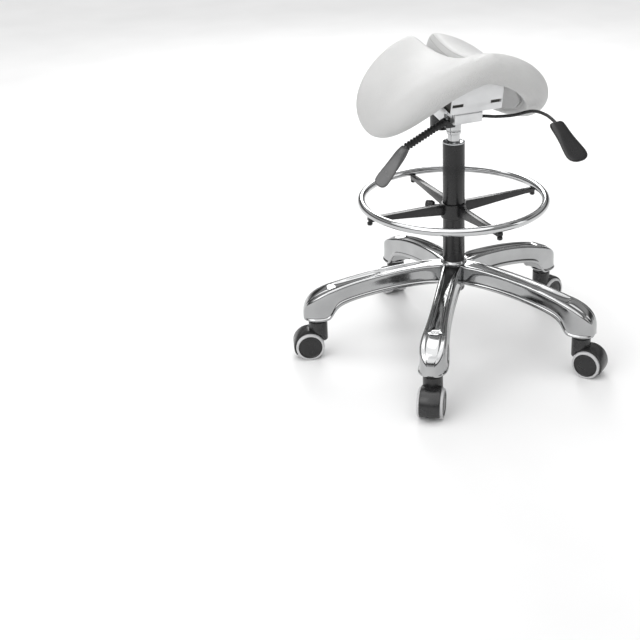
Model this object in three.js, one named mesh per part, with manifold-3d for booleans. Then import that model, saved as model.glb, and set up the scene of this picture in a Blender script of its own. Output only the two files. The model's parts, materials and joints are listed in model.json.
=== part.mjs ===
// Saddle stool for a dentist: five-star base on twin-wheel castors, gas column, foot ring,
// tilting seat mechanism with two levers, and a cleft saddle seat.
// Millimetres, +Z up. Origin on the floor under the column axis. The sitter faces -Y,
// so the seat's open cleft is at +Y and the sitter's right hand is at -X.
import * as THREE from "three";
import { mergeVertices } from "three/addons/utils/BufferGeometryUtils.js";
import Module from "manifold-3d";

const wasm = await Module();
wasm.setup();

// ---------- driving dimensions ----------
const fitGap = 0.3; // play left between pieces that touch

const base = {
  arms: 5,
  firstArm: 90, // azimuth of the first arm, degrees
  casterCircle: 318, // column axis to castor stem
  endBottom: 98,
  hubBottom: 160,
  hubTop: 220,
};
const caster = {
  wheelRadius: 32.5,
  wheelSides: 16,
  wheelInner: 9.4, // wheel faces, measured from the castor's middle plane
  wheelOuter: 28.2,
  trail: 21,
  axleRadius: 4,
  neckRadius: 21.5,
  neckTop: base.endBottom - 0.6,
  neckBottom: 58,
  fenderRadius: 37.2,
  fenderHalfWidth: 22.5,
  webHalfWidth: 8.8,
  stemRadius: 5.5,
  stemBottom: 72,
  stemTop: 132,
};
const column = { radius: 25, wall: 2.4, bottom: 145, top: 500, floor: 4 };
const gas = { radius: 14, bottom: 245, top: 558, wall: 2, rodRadius: 5, pinRadius: 3.4 };
const ring = {
  radius: 208.3,
  tubeRadius: 9,
  height: 368,
  hubOuter: 29.5,
  hubBottom: 324,
  hubTop: 358.5,
  spokes: 4,
  spokeWidth: 12,
  spokeRoot: 25, // depth of a spoke at the hub
  spokeTip: 10, // and under the ring
  clampAzimuth: 132, // degrees, between two spokes
  clampZ: 345.25,
};
const mechanism = {
  height: 566, // origin of the tilted mechanism frame, on the column axis
  pitch: 11, // degrees, rear side up
  halfWidth: 34,
  sheet: 3,
  pivotY: -42,
  pivotZ: 30,
  pivotRadius: 5,
  springY: 56,
  // the channel's ends and floor; its floor stops at noseStart, and only its cheeks go further
  front: -66,
  rear: 84,
  floor: -12,
  noseStart: -24,
};
const pan = { halfWidth: 62, front: -94, rear: 106, bottom: 49, sheet: 3 };
const seat = {
  centreZ: 670, // middle of the padding at the centre of the seat
  centreY: 14.5,
  halfSpan: 236, // flattened half width, over the curve
  frontReach: 190,
  rearReach: 162.5,
  bendSpan: 215,
  padAbove: 30,
  padBelow: 18,
  // how far the rim rolls down, at its widest line and at its underside
  rimFall: { front: 12, side: 2, rear: 35 },
  rimDepth: { front: 40, side: 24, rear: 78 },
  shellSheet: 8,
  shellGap: 3, // padding above the shell's skin
  // share of the way to the edge where the rim's inner wall stands, and the shell inside it
  rimWall: { front: 0.73, side: 0.87, rear: 0.7 },
  shellInset: 0.97,
};

// ---------- materials ----------
const look = (color, roughness, metalness) =>
  new THREE.MeshStandardMaterial({ color, roughness, metalness });
const materials = {
  polished: look(0xc9cacc, 0.12, 1),
  chrome: look(0xdcdde0, 0.06, 1),
  blackSteel: look(0x1c1c1e, 0.35, 0.4),
  blackPlastic: look(0x202022, 0.5, 0),
  wheel: look(0x9b9c9e, 0.55, 0),
  zinc: look(0xaeb0b3, 0.35, 0.9),
  steel: look(0x8d9094, 0.3, 1),
  leather: look(0xe9e9e8, 0.55, 0),
  shell: look(0x9a9a9b, 0.7, 0),
};

// ---------- geometry helpers ----------
const radians = THREE.MathUtils.degToRad;

// A closed three.js geometry as a manifold solid.
function solid(geometry) {
  const bare = new THREE.BufferGeometry();
  const source = geometry.index ? geometry.toNonIndexed() : geometry;
  bare.setAttribute("position", source.getAttribute("position"));
  const merged = mergeVertices(bare, 1e-3);
  const mesh = new wasm.Mesh({
    numProp: 3,
    vertProperties: merged.attributes.position.array,
    triVerts: new Uint32Array(merged.index.array),
  });
  return new wasm.Manifold(mesh);
}

// A manifold solid back as a three.js geometry.
function geometryOf(body) {
  const mesh = body.getMesh();
  const geometry = new THREE.BufferGeometry();
  geometry.setAttribute("position", new THREE.BufferAttribute(mesh.vertProperties, 3));
  geometry.setIndex(new THREE.BufferAttribute(mesh.triVerts, 1));
  return geometry;
}

function combine(first, { add = [], cut = [] }) {
  let body = solid(first);
  for (const piece of add) body = body.add(solid(piece));
  for (const piece of cut) body = body.subtract(solid(piece));
  return geometryOf(body);
}

// A turned piece about Z. The profile runs [radius, height] from low to high on the outside.
function turned(profile, segments = 24) {
  const points = profile.map(([r, z]) => new THREE.Vector2(r, z));
  return new THREE.LatheGeometry(points, segments).rotateX(Math.PI / 2);
}

const rod = (radius, low, high, segments = 16) =>
  turned([[0, low], [radius, low], [radius, high], [0, high]], segments);

const sleeve = (inner, outer, low, high, segments = 24) =>
  turned([[inner, low], [outer, low], [outer, high], [inner, high], [inner, low]], segments);

// A box given by its lowest and highest corners.
function block([x0, y0, z0], [x1, y1, z1]) {
  const box = new THREE.BoxGeometry(x1 - x0, y1 - y0, z1 - z0);
  return box.translate((x0 + x1) / 2, (y0 + y1) / 2, (z0 + z1) / 2);
}

// A closed skin over rings of points that all have the same count, with flat or pointed ends.
function loft(rings) {
  const count = rings[0].length;
  const positions = rings.flat().flatMap((p) => [p.x, p.y, p.z]);
  const index = [];
  for (let j = 0; j < rings.length - 1; j++)
    for (let i = 0; i < count; i++) {
      const a = j * count + i;
      const b = j * count + ((i + 1) % count);
      index.push(a, b, b + count, a, b + count, a + count);
    }
  for (const [row, turn] of [[0, false], [rings.length - 1, true]]) {
    const centre = new THREE.Vector3();
    rings[row].forEach((p) => centre.add(p));
    centre.divideScalar(count);
    const hub = positions.push(centre.x, centre.y, centre.z) / 3 - 1;
    for (let i = 0; i < count; i++) {
      const a = row * count + i;
      const b = row * count + ((i + 1) % count);
      index.push(...(turn ? [a, b, hub] : [b, a, hub]));
    }
  }
  const geometry = new THREE.BufferGeometry();
  geometry.setAttribute("position", new THREE.Float32BufferAttribute(positions, 3));
  geometry.setIndex(index);
  return geometry;
}

// A round bar along a smooth curve through the given points.
function bar(points, radius, sides = 8, steps = 24) {
  const curve = new THREE.CatmullRomCurve3(points.map((p) => new THREE.Vector3(...p)));
  const section = new THREE.Shape().absarc(0, 0, radius, 0, 2 * Math.PI);
  return new THREE.ExtrudeGeometry(section, { steps, curveSegments: sides / 2, extrudePath: curve });
}

// Turns a piece made along Z so that it runs from one point towards another.
function aim(geometry, from, to) {
  const start = new THREE.Vector3(...from);
  const along = new THREE.Vector3(...to).sub(start).normalize();
  const turn = new THREE.Quaternion().setFromUnitVectors(new THREE.Vector3(0, 0, 1), along);
  return geometry.applyQuaternion(turn).translate(start.x, start.y, start.z);
}

const alongX = (geometry) => geometry.rotateY(Math.PI / 2);
const alongY = (geometry) => geometry.rotateX(-Math.PI / 2);

function place(parent, name, geometry, material) {
  const mesh = new THREE.Mesh(geometry, material);
  mesh.name = name;
  parent.add(mesh);
  return mesh;
}

const stool = new THREE.Group();

// ---------- base ----------
// One arm's section at each distance from the column: half width, top, underside,
// depth of the groove along its back, and depth of the hollow under it.
const armStations = [
  { r: 12, half: 24, top: 214, low: 172, groove: 0.2, hollow: 0.5 },
  { r: 45, half: 25, top: 214, low: 172, groove: 0.6, hollow: 2 },
  { r: 75, half: 24, top: 212.5, low: 170, groove: 5, hollow: 18 },
  { r: 125, half: 23, top: 207, low: 164, groove: 6, hollow: 22 },
  { r: 178, half: 23, top: 198.5, low: 155.5, groove: 6, hollow: 22 },
  { r: 225, half: 24, top: 188.5, low: 147, groove: 6, hollow: 20 },
  { r: 262, half: 26.5, top: 178.5, low: 137, groove: 5, hollow: 14 },
  { r: 282, half: 29.5, top: 172, low: 122, groove: 0.4, hollow: 3 },
  { r: 292, half: 31, top: 168.5, low: 98, groove: 0.3, hollow: 0.5 },
  { r: 318, half: 32, top: 157.5, low: 98, groove: 0.2, hollow: 0.5 },
  { r: 338, half: 25, top: 145, low: 98, groove: 0.2, hollow: 0.5 },
  { r: 349, half: 8, top: 124, low: 98, groove: 0.2, hollow: 0.4 },
];

function armSection({ r, half, top, low, groove, hollow }) {
  const side = [
    [half * 0.55, low + hollow],
    [half * 0.72, low],
    [half, low + 1],
    [half * 0.92, low + 0.5 * (top - low)],
    [half * 0.86, top - 5],
    [half * 0.6, top],
    [half * 0.4, top - groove],
  ];
  const left = side.map(([y, z]) => new THREE.Vector3(r, y, z));
  const right = side.map(([y, z]) => new THREE.Vector3(r, -y, z)).reverse();
  return [...left, ...right];
}

function baseStar() {
  const arm = loft(armStations.map(armSection));
  const arms = [];
  const stemBores = [];
  for (let k = 0; k < base.arms; k++) {
    const turn = radians(base.firstArm + (k * 360) / base.arms);
    arms.push(arm.clone().rotateZ(turn));
    const bore = rod(caster.stemRadius + fitGap, base.endBottom - 5, caster.stemTop + 3, 10);
    stemBores.push(bore.translate(base.casterCircle, 0, 0).rotateZ(turn));
  }
  const hub = turned([
    [0, base.hubBottom],
    [30, base.hubBottom],
    [38, base.hubBottom + 8],
    [42, base.hubBottom + 30],
    [36, base.hubTop - 11],
    [30, base.hubTop - 6],
    [column.radius + 2.2, base.hubTop],
    [0, base.hubTop],
  ], 25);
  const columnBore = rod(column.radius + 0.4, base.hubBottom - 20, base.hubTop + 20, 32);
  return combine(hub, { add: arms, cut: [columnBore, ...stemBores] });
}
place(stool, "base_star", baseStar(), materials.polished);

// ---------- castors ----------
function hoodGeometry() {
  const { trail, wheelRadius: axleZ } = caster;
  const acrossAxle = (geometry) => alongY(geometry).translate(trail, 0, axleZ);
  const disc = acrossAxle(
    rod(caster.fenderRadius, -caster.fenderHalfWidth, caster.fenderHalfWidth, 18));
  const web = acrossAxle(rod(24, -caster.webHalfWidth, caster.webHalfWidth, 12));
  const neck = rod(caster.neckRadius, caster.neckBottom, caster.neckTop, 16);
  // The fender reaches from the neck over the wheels and stops above the floor behind them.
  const below = block([-60, -60, -60], [trail + 12, 60, axleZ - 4]);
  const behind = block([trail - 60, -60, -60], [120, 60, 15]);
  const inward = block([-60, -60, -60], [-6, 60, caster.neckBottom]);
  const fender = combine(disc, { cut: [below, behind, inward] });
  const pockets = [-1, 1].map((side) => {
    const pocket = rod(caster.wheelRadius + 1.5, caster.webHalfWidth, 60, 18);
    return acrossAxle(side > 0 ? pocket : pocket.rotateX(Math.PI));
  });
  const axleBore = acrossAxle(rod(caster.axleRadius + fitGap, -30, 30, 10));
  const stemBore = rod(caster.stemRadius + fitGap, caster.stemBottom - 1, caster.neckTop + 5, 10);
  const shell = combine(fender, { add: [neck], cut: pockets });
  return combine(shell, { add: [web], cut: [axleBore, stemBore] });
}

// The wheel stands on one of its flats, so its corners lie a little outside its radius.
function wheelGeometry() {
  const { wheelSides: sides, wheelInner: inner, wheelOuter: outer, axleRadius } = caster;
  const halfTurn = Math.PI / sides;
  const r = caster.wheelRadius / Math.cos(halfTurn);
  const bore = axleRadius + 0.4;
  const profile = [
    [0, outer - 5], [bore, outer - 5], [bore, inner], [r - 1.8, inner], [r, inner + 1.8],
    [r, outer - 3.2], [r - 2, outer - 1.2], [18, outer - 0.5], [0, outer],
  ];
  return alongY(turned(profile, sides)).rotateY(halfTurn);
}

const hood = hoodGeometry();
const wheel = wheelGeometry();
for (let k = 0; k < base.arms; k++) {
  const number = k + 1;
  const arm = new THREE.Group();
  arm.rotation.z = radians(base.firstArm + (k * 360) / base.arms);
  const unit = new THREE.Group();
  unit.position.x = base.casterCircle;
  arm.add(unit);
  stool.add(arm);
  const { stemRadius, stemBottom, stemTop } = caster;
  const stem = turned([
    [0, stemBottom], [stemRadius, stemBottom], [stemRadius, stemTop - 3],
    [stemRadius - 2, stemTop], [0, stemTop],
  ], 10);
  place(unit, `caster_${number}_stem`, stem, materials.steel);
  place(unit, `caster_${number}_hood`, hood.clone(), materials.blackPlastic);
  const axle = alongY(rod(caster.axleRadius, -22, 22, 10));
  axle.translate(caster.trail, 0, caster.wheelRadius);
  place(unit, `caster_${number}_axle`, axle, materials.steel);
  for (const [side, turn] of [["left", 0], ["right", Math.PI]]) {
    const mesh = place(unit, `caster_${number}_wheel_${side}`, wheel.clone(), materials.wheel);
    mesh.position.set(caster.trail, 0, caster.wheelRadius);
    mesh.rotation.z = turn;
  }
}

// ---------- column and gas spring ----------
function columnTube() {
  const { radius, wall, bottom, top, floor } = column;
  const holeRadius = gas.rodRadius + 1;
  return turned([
    [holeRadius, bottom], [radius - 3, bottom], [radius, bottom + 3], [radius, top],
    [radius - wall, top], [radius - wall, bottom + floor], [holeRadius, bottom + floor],
    [holeRadius, bottom],
  ], 32);
}
place(stool, "column_tube", columnTube(), materials.blackSteel);

function guideBush() {
  const bore = gas.radius + 0.4;
  const outer = column.radius - column.wall - fitGap;
  const seatZ = column.top + fitGap;
  return turned([
    [bore, column.top - 62], [outer, column.top - 62], [outer, seatZ],
    [column.radius - 0.6, seatZ], [column.radius - 0.6, seatZ + 2], [column.radius - 2.6, seatZ + 3],
    [bore + 1, seatZ + 3], [bore, seatZ + 2], [bore, column.top - 62],
  ], 20);
}
place(stool, "guide_bush", guideBush(), materials.blackPlastic);

const floorTop = column.bottom + column.floor;
place(stool, "thrust_bearing", sleeve(gas.rodRadius + fitGap, 12, floorTop + fitGap, floorTop + 7, 16),
  materials.steel);

function pistonRod() {
  const { rodRadius } = gas;
  const headLow = 455;
  return turned([
    [0, column.bottom - 6], [rodRadius, column.bottom - 6], [rodRadius, floorTop + 8],
    [9, floorTop + 8], [9, floorTop + 11], [rodRadius, floorTop + 12], [rodRadius, headLow],
    [gas.radius - gas.wall - fitGap, headLow], [gas.radius - gas.wall - fitGap, headLow + 12],
    [0, headLow + 12],
  ], 16);
}
place(stool, "piston_rod", pistonRod(), materials.chrome);
place(stool, "rod_clip",
  sleeve(gas.rodRadius + fitGap, 10, column.bottom - 3.3, column.bottom - fitGap, 16), materials.steel);

function gasCylinder() {
  const { radius, wall, bottom, top, rodRadius, pinRadius } = gas;
  const gland = rodRadius + 0.4;
  const pinBore = pinRadius + 0.4;
  return turned([
    [gland, bottom], [radius, bottom], [radius, top - 45], [radius - 0.9, top],
    [pinBore, top], [pinBore, top - 22], [radius - wall - 1, top - 22], [radius - wall, top - 44],
    [radius - wall, bottom + 6], [gland, bottom + 6], [gland, bottom],
  ], 24);
}
place(stool, "gas_cylinder", gasCylinder(), materials.chrome);
place(stool, "release_pin", rod(gas.pinRadius, gas.top - 16, gas.top + 6, 12), materials.steel);

// ---------- foot ring ----------
place(stool, "foot_ring_tube", new THREE.TorusGeometry(ring.radius, ring.tubeRadius, 8, 48)
  .translate(0, 0, ring.height), materials.chrome);

// The clamp's frame: Z points out of the hub between two spokes.
const clampFrame = new THREE.Matrix4().makeRotationZ(radians(ring.clampAzimuth));
clampFrame.multiply(new THREE.Matrix4().makeRotationY(Math.PI / 2));
clampFrame.setPosition(0, 0, ring.clampZ);

const spokeTurns = Array.from({ length: ring.spokes }, (_, k) => (k * 2 * Math.PI) / ring.spokes);

function ringSpider() {
  const { hubOuter, hubBottom, hubTop, spokeWidth, spokeRoot, spokeTip } = ring;
  const hub = sleeve(column.radius + 0.5, hubOuter, hubBottom, hubTop, 32);
  const root = hubOuter - 2.5;
  const tip = ring.radius + 4;
  const outline = new THREE.Shape();
  outline.moveTo(root, hubTop - spokeRoot);
  outline.lineTo(tip - 26, hubTop - spokeTip);
  outline.lineTo(tip, hubTop - spokeTip);
  outline.lineTo(tip, hubTop - fitGap);
  outline.lineTo(root, hubTop - fitGap);
  const spoke = new THREE.ExtrudeGeometry(outline, { depth: spokeWidth, bevelEnabled: false });
  spoke.translate(0, 0, -spokeWidth / 2).rotateX(Math.PI / 2);
  const studHole = rod(3.3, 20, 45, 12).applyMatrix4(clampFrame);
  const screwHole = rod(2.8, hubTop - 20, hubTop + 5, 10).translate(ring.radius, 0, 0);
  return combine(hub, {
    add: spokeTurns.map((turn) => spoke.clone().rotateZ(turn)),
    cut: [studHole, ...spokeTurns.map((turn) => screwHole.clone().rotateZ(turn))],
  });
}
place(stool, "ring_spider", ringSpider(), materials.blackPlastic);

spokeTurns.forEach((turn, k) => {
  const under = ring.hubTop - ring.spokeTip - fitGap;
  const screw = turned([
    [0, under - 7], [5.5, under - 7], [6, under - 5.5], [6, under], [2.5, under],
    [2.5, ring.hubTop - 1], [0, ring.hubTop - 1],
  ], 12);
  screw.translate(ring.radius, 0, 0).rotateZ(turn);
  place(stool, `ring_screw_${k + 1}`, screw, materials.blackPlastic);
});

const clampKnob = turned([
  [0, column.radius + 0.6], [3, column.radius + 0.6], [3, 48], [10, 50], [12, 54], [12, 64],
  [9.5, 67.5], [0, 68.5],
], 20).applyMatrix4(clampFrame);
place(stool, "ring_clamp_knob", clampKnob, materials.blackPlastic);

// ---------- mechanism ----------
const tilted = new THREE.Group();
tilted.position.z = mechanism.height;
tilted.rotation.x = radians(mechanism.pitch);
stool.add(tilted);
tilted.updateMatrix();
const fromWorld = tilted.matrix.clone().invert();

// Seat bolts in the tilted frame: across, along, length of the shank.
const boltPlaces = [-1, 1].flatMap((side) => [[side * 46, -74, 20], [side * 30, 48, 12]]);
const intoTilted = (geometry) => geometry.applyMatrix4(fromWorld);

const leverPivot = { x: -30, y: -33, z: 558 }; // height lever, world frame
const lockShaft = { y: -58, z: 570 }; // tilt lever, world frame

function mechanismBody() {
  const { halfWidth: w, sheet, pivotY, pivotZ, pivotRadius, front, rear, floor, noseStart } = mechanism;
  const outline = new THREE.Shape();
  outline.moveTo(front, floor + 20);
  outline.lineTo(noseStart, floor + 14);
  outline.lineTo(noseStart, floor);
  outline.lineTo(rear, floor);
  outline.lineTo(rear, floor + 20);
  outline.lineTo(30, floor + 34);
  outline.lineTo(pivotY + 14, pivotZ + 10);
  outline.lineTo(pivotY - 14, pivotZ + 10);
  outline.lineTo(front, pivotZ);
  const channel = new THREE.ExtrudeGeometry(outline, { depth: 2 * w, bevelEnabled: false });
  // The outline is drawn in the YZ plane and runs across X.
  const across = new THREE.Matrix4().set(0, 0, 1, -w, 1, 0, 0, 0, 0, 1, 0, 0, 0, 0, 0, 1);
  channel.applyMatrix4(across);
  const hollow = block([-w + sheet, front + sheet, floor + sheet], [w - sheet, rear - sheet, 80]);
  const socketHole = intoTilted(rod(17.4, 500, 575, 24));
  const pivotHole = alongX(rod(pivotRadius + fitGap, -60, 60)).translate(0, pivotY, pivotZ);
  const boltHole = rod(4.6, -30, 10, 12).translate(0, mechanism.springY, 0);
  const leverWindow = intoTilted(
    block([-60, leverPivot.y - 13, leverPivot.z - 40], [-w + 8, leverPivot.y + 13, leverPivot.z + 18]));
  const leverFloor = intoTilted(
    block([-60, leverPivot.y - 13, leverPivot.z - 40], [12, leverPivot.y + 13, leverPivot.z - 2]));
  const shaftHole = intoTilted(
    alongX(rod(5, 0, 90, 12)).translate(0, lockShaft.y, lockShaft.z));
  return combine(channel, {
    cut: [hollow, socketHole, pivotHole, boltHole, leverWindow, leverFloor, shaftHole],
  });
}
place(tilted, "mechanism_body", mechanismBody(), materials.zinc);

const socketProfile = [
  [gas.radius + 0.4, 521], [16.2, 521], [17, 523], [17, 556], [gas.radius + 0.4, 556],
  [gas.radius + 0.4, 521],
];
place(stool, "taper_socket", turned(socketProfile, 24), materials.chrome);

place(tilted, "tilt_pin", alongX(rod(mechanism.pivotRadius, -44, 44, 16))
  .translate(0, mechanism.pivotY, mechanism.pivotZ), materials.steel);

function tensionSpring() {
  const turns = 4;
  const points = [];
  for (let k = 0; k <= turns * 10; k++) {
    const angle = (k / 10) * 2 * Math.PI;
    const z = -6.5 + (k / (turns * 10)) * 30;
    points.push([12 * Math.cos(angle), mechanism.springY + 12 * Math.sin(angle), z]);
  }
  return bar(points, 2, 6, turns * 8);
}
place(tilted, "tension_spring", tensionSpring(), materials.steel);

const tensionBolt = turned([
  [0, -50], [4, -50], [4, 26.5], [15, 26.5], [15, 29.5], [7, 29.5], [7, 33.5], [0, 33.5],
], 16).translate(0, mechanism.springY, 0);
place(tilted, "tension_bolt", tensionBolt, materials.steel);

const knobProfile = [
  [4.4, -54], [20, -54], [21.5, -58], [23, -58], [23.6, -56], [26.6, -16], [24, -13], [4.4, -13],
  [4.4, -54],
];
place(tilted, "tension_knob", turned(knobProfile, 24).translate(0, mechanism.springY, 0),
  materials.blackPlastic);

// ---------- height lever, on the sitter's right ----------
const heightLever = {
  bootStart: [-44, -35, 561],
  bootEnd: [-139, -44, 522],
  paddleTip: [-207, -46, 446],
  paddleWidth: [-0.49, 0.76, 0.42], // the way its flat face is broad
};

function leverHub() {
  const { x, y, z } = leverPivot;
  const body = block([x - 11, y - 11, z - 9], [x + 11, y + 11, z + 9]);
  const nose = block([x, y - 6, z + 1.5], [-8, y + 6, z + 8]);
  const finger = block([-9, y - 6, z + 6.6], [5, 6, z + 11]);
  const socket = aim(rod(9, -6, 4, 12), heightLever.bootStart, heightLever.bootEnd);
  const rodHole = aim(rod(4.3, -14, 20, 12), heightLever.bootStart, heightLever.bootEnd);
  return combine(body, { add: [nose, finger, socket], cut: [rodHole] });
}
place(stool, "height_lever_hub", leverHub(), materials.blackPlastic);

const bootLength = new THREE.Vector3(...heightLever.bootStart)
  .distanceTo(new THREE.Vector3(...heightLever.bootEnd));
place(stool, "height_lever_rod",
  aim(rod(4, -12, bootLength + 14, 12), heightLever.bootStart, heightLever.bootEnd), materials.steel);

function bellowsBoot() {
  const ribs = 9;
  const low = 4.6;
  const pitch = (bootLength - low - 4) / ribs;
  const outer = [];
  for (let k = 0; k < ribs; k++) {
    const z = low + k * pitch;
    outer.push([6.4, z], [8.8, z + 0.35 * pitch], [8.8, z + 0.65 * pitch]);
  }
  const end = low + ribs * pitch;
  return turned([[4.4, low], ...outer, [6.4, end], [4.4, end], [4.4, low]], 8);
}
place(stool, "height_lever_boot",
  aim(bellowsBoot(), heightLever.bootStart, heightLever.bootEnd), materials.blackPlastic);

// A flat spoon-shaped handle: a row of flattened ovals from the rod's end to the tip.
function paddle(start, end, widthAxis, stations, bore) {
  const from = new THREE.Vector3(...start);
  const along = new THREE.Vector3(...end).sub(from);
  const length = along.length();
  along.normalize();
  const side = new THREE.Vector3(...widthAxis);
  side.addScaledVector(along, -side.dot(along)).normalize();
  const up = new THREE.Vector3().crossVectors(along, side);
  const corners = 12;
  const rings = stations.map(([t, half, thick]) => {
    const row = [];
    for (let k = 0; k < corners; k++) {
      const angle = (k / corners) * 2 * Math.PI;
      const point = from.clone().addScaledVector(along, t * length);
      point.addScaledVector(side, half * Math.cos(angle));
      row.push(point.addScaledVector(up, (thick / 2) * Math.sin(angle)));
    }
    return row;
  });
  return combine(loft(rings), { cut: [bore] });
}
const heightPaddleStations = [
  [0, 9.5, 17], [0.1, 11, 18], [0.22, 13.5, 14], [0.45, 14, 9], [0.7, 16, 7.5], [0.88, 16.5, 7],
  [0.97, 12, 6], [1, 6, 4.5],
];
const heightPaddleBore = aim(rod(4.4, -20, bootLength + 15, 12), heightLever.bootStart,
  heightLever.bootEnd);
place(stool, "height_lever_paddle",
  paddle(heightLever.bootEnd, heightLever.paddleTip, heightLever.paddleWidth, heightPaddleStations,
    heightPaddleBore),
  materials.blackPlastic);

// ---------- tilt lever, towards the sitter's left knee ----------
const tiltRodPath = [
  [14, lockShaft.y, lockShaft.z], [30, lockShaft.y, lockShaft.z], [44, lockShaft.y - 2, lockShaft.z],
  [66, -72, 569], [95, -96, 574],
  [124, -126, 587], [141, -151, 584], [150, -172, 574], [152.5, -186, 564.5],
];
place(stool, "tilt_lever_rod", bar(tiltRodPath, 3.5, 8, 30), materials.blackSteel);

const tiltPaddle = { start: [151.5, -177, 571], end: [163, -262, 508] };
const tiltPaddleStations = [
  [0, 16, 9], [0.05, 18.5, 12], [0.3, 19.5, 11], [0.55, 22.5, 8.5], [0.8, 27.5, 7.5], [0.93, 25, 7],
  [1, 13, 5],
];
place(stool, "tilt_lever_paddle",
  paddle(tiltPaddle.start, tiltPaddle.end, [1, 0, 0], tiltPaddleStations, bar(tiltRodPath, 3.9, 8, 30)),
  materials.blackPlastic);

// ---------- seat ----------
// A point of the saddle: across the seat over the curve, along it, and square to its skin.
// The sheet bends down on both sides in an arc, and rises towards its front and rear edges.
function saddlePoint(across, along, lift) {
  const reach = along / 150;
  const bend = 1.15 + 0.135 * reach - 0.22 * reach * reach;
  const radius = seat.bendSpan / bend;
  const angle = across / radius;
  const outward = Math.min(Math.abs(across) / seat.bendSpan, 1.2);
  const rise = along < 0 ? 31 * (1 - 0.87 * outward) : 27 * (1 - 0.21 * outward);
  const curl = rise * reach * reach;
  const height = lift + 0.66 * curl;
  return new THREE.Vector3(
    radius * Math.sin(angle) + height * Math.sin(angle),
    seat.centreY + along,
    seat.centreZ - radius * (1 - Math.cos(angle)) + height * Math.cos(angle) + 0.34 * curl,
  );
}

// Distance from the middle of the flattened seat to its edge, in a direction.
function saddleEdge(angle) {
  const c = Math.cos(angle);
  const s = Math.sin(angle);
  const half = seat.halfSpan * (1 + 0.13 * s);
  const reach = s < 0 ? seat.frontReach : seat.rearReach;
  const power = 2.9;
  const oval = (Math.abs(c / half) ** power + Math.abs(s / reach) ** power) ** (-1 / power);
  return oval * (1 - 0.08 * s * s * s * c * c + 0.03 * Math.cos(4 * angle));
}

// A ring of points on the saddle, with the share of the way to its edge and the lift
// worked out from the direction's angle.
function saddleRing(shareAt, liftAt, directions = 36) {
  const points = [];
  for (let k = 0; k < directions; k++) {
    const angle = (k / directions) * 2 * Math.PI;
    const reach = shareAt(angle) * saddleEdge(angle);
    points.push(saddlePoint(reach * Math.cos(angle), reach * Math.sin(angle), liftAt(angle)));
  }
  return points;
}

const smooth = (t) => THREE.MathUtils.smoothstep(t, 0, 1);

// A value that turns from the side's to the front's or the rear's with the direction.
function around({ front, side, rear }, angle) {
  const s = Math.sin(angle);
  return side + (front - side) * smooth((-s - 0.05) / 0.75) + (rear - side) * smooth((s - 0.05) / 0.6);
}

// Shares of the way to the rim's inner wall at which the underside and the shell have a ring.
const undersideShares = [0.02, 0.3, 0.6, 0.8, 0.93];

function cushionSlab() {
  const { padAbove, padBelow, rimFall, rimDepth, rimWall } = seat;
  const fall = (angle) => around(rimFall, angle);
  const depth = (angle) => around(rimDepth, angle);
  const wall = (angle) => around(rimWall, angle);
  const ring = (share, liftAt) => saddleRing(() => share, liftAt);
  const underRing = (share) => saddleRing((angle) => share * wall(angle), () => -padBelow);
  // A ring in the rim, by its share of the way from the inner wall to the edge.
  const rimRing = (across, liftAt) =>
    saddleRing((angle) => wall(angle) + across * (1 - wall(angle)), liftAt);
  // A flat underside, then the rim's inner wall, its rounded underside, its widest line and the top.
  return loft([
    ...undersideShares.map(underRing),
    underRing(1),
    rimRing(0.22, (angle) => -depth(angle)),
    rimRing(0.62, (angle) => -depth(angle)),
    rimRing(0.9, (angle) => -0.5 * (depth(angle) + fall(angle))),
    ring(1, (angle) => -fall(angle)),
    ring(0.96, (angle) => 0.55 * padAbove - 0.45 * fall(angle)),
    ring(0.86, (angle) => 0.88 * padAbove - 0.12 * fall(angle)),
    ring(0.7, () => padAbove),
    ring(0.4, () => padAbove),
    ring(0.02, () => padAbove),
  ]);
}

// The cleft's outline seen from above, widening towards the rear.
function cleft(frontY, frontHalf, rearHalf) {
  const outline = new THREE.Shape();
  outline.absarc(0, frontY + frontHalf, frontHalf, Math.PI, 2 * Math.PI);
  outline.lineTo(rearHalf, 240);
  outline.lineTo(-rearHalf, 240);
  const tool = new THREE.ExtrudeGeometry(outline, { depth: 300, bevelEnabled: false, curveSegments: 8 });
  return tool.translate(0, 0, 520);
}

const cushion = combine(cushionSlab(), { cut: [cleft(-62, 7, 20)] });
place(stool, "seat_cushion", cushion, materials.leather);

// The shell lies against the underside of the padding and stops inside its rim.
function seatShell() {
  const { padBelow, shellGap, shellSheet, rimWall, shellInset } = seat;
  const row = (share, drop) =>
    saddleRing((angle) => share * shellInset * around(rimWall, angle), () => -padBelow - drop);
  const bottom = undersideShares.map((share) => row(share, shellGap + shellSheet));
  const rim = [row(1, shellGap + 2.5), row(1, shellGap)];
  const top = undersideShares.map((share) => row(share, shellGap)).reverse();
  const boltHoles = boltPlaces.map(([x, y]) =>
    rod(4.8, 40, 90, 8).translate(x, y, 0).applyMatrix4(tilted.matrix));
  return combine(loft([...bottom, ...rim, ...top]), { cut: [cleft(60, 14, 26), ...boltHoles] });
}
place(stool, "seat_shell", seatShell(), materials.shell);

// Everything from just under the shell upwards, to trim what is fastened below it.
function shellAndAbove() {
  const lift = -(seat.padBelow + seat.shellGap + seat.shellSheet + 1.2);
  const skin = [0.02, 0.25, 0.5, 0.75].map((share) => saddleRing(() => share, () => lift, 24));
  const lid = skin[skin.length - 1].map((p) => new THREE.Vector3(p.x, p.y, 800));
  return intoTilted(loft([...skin, lid]));
}

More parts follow.
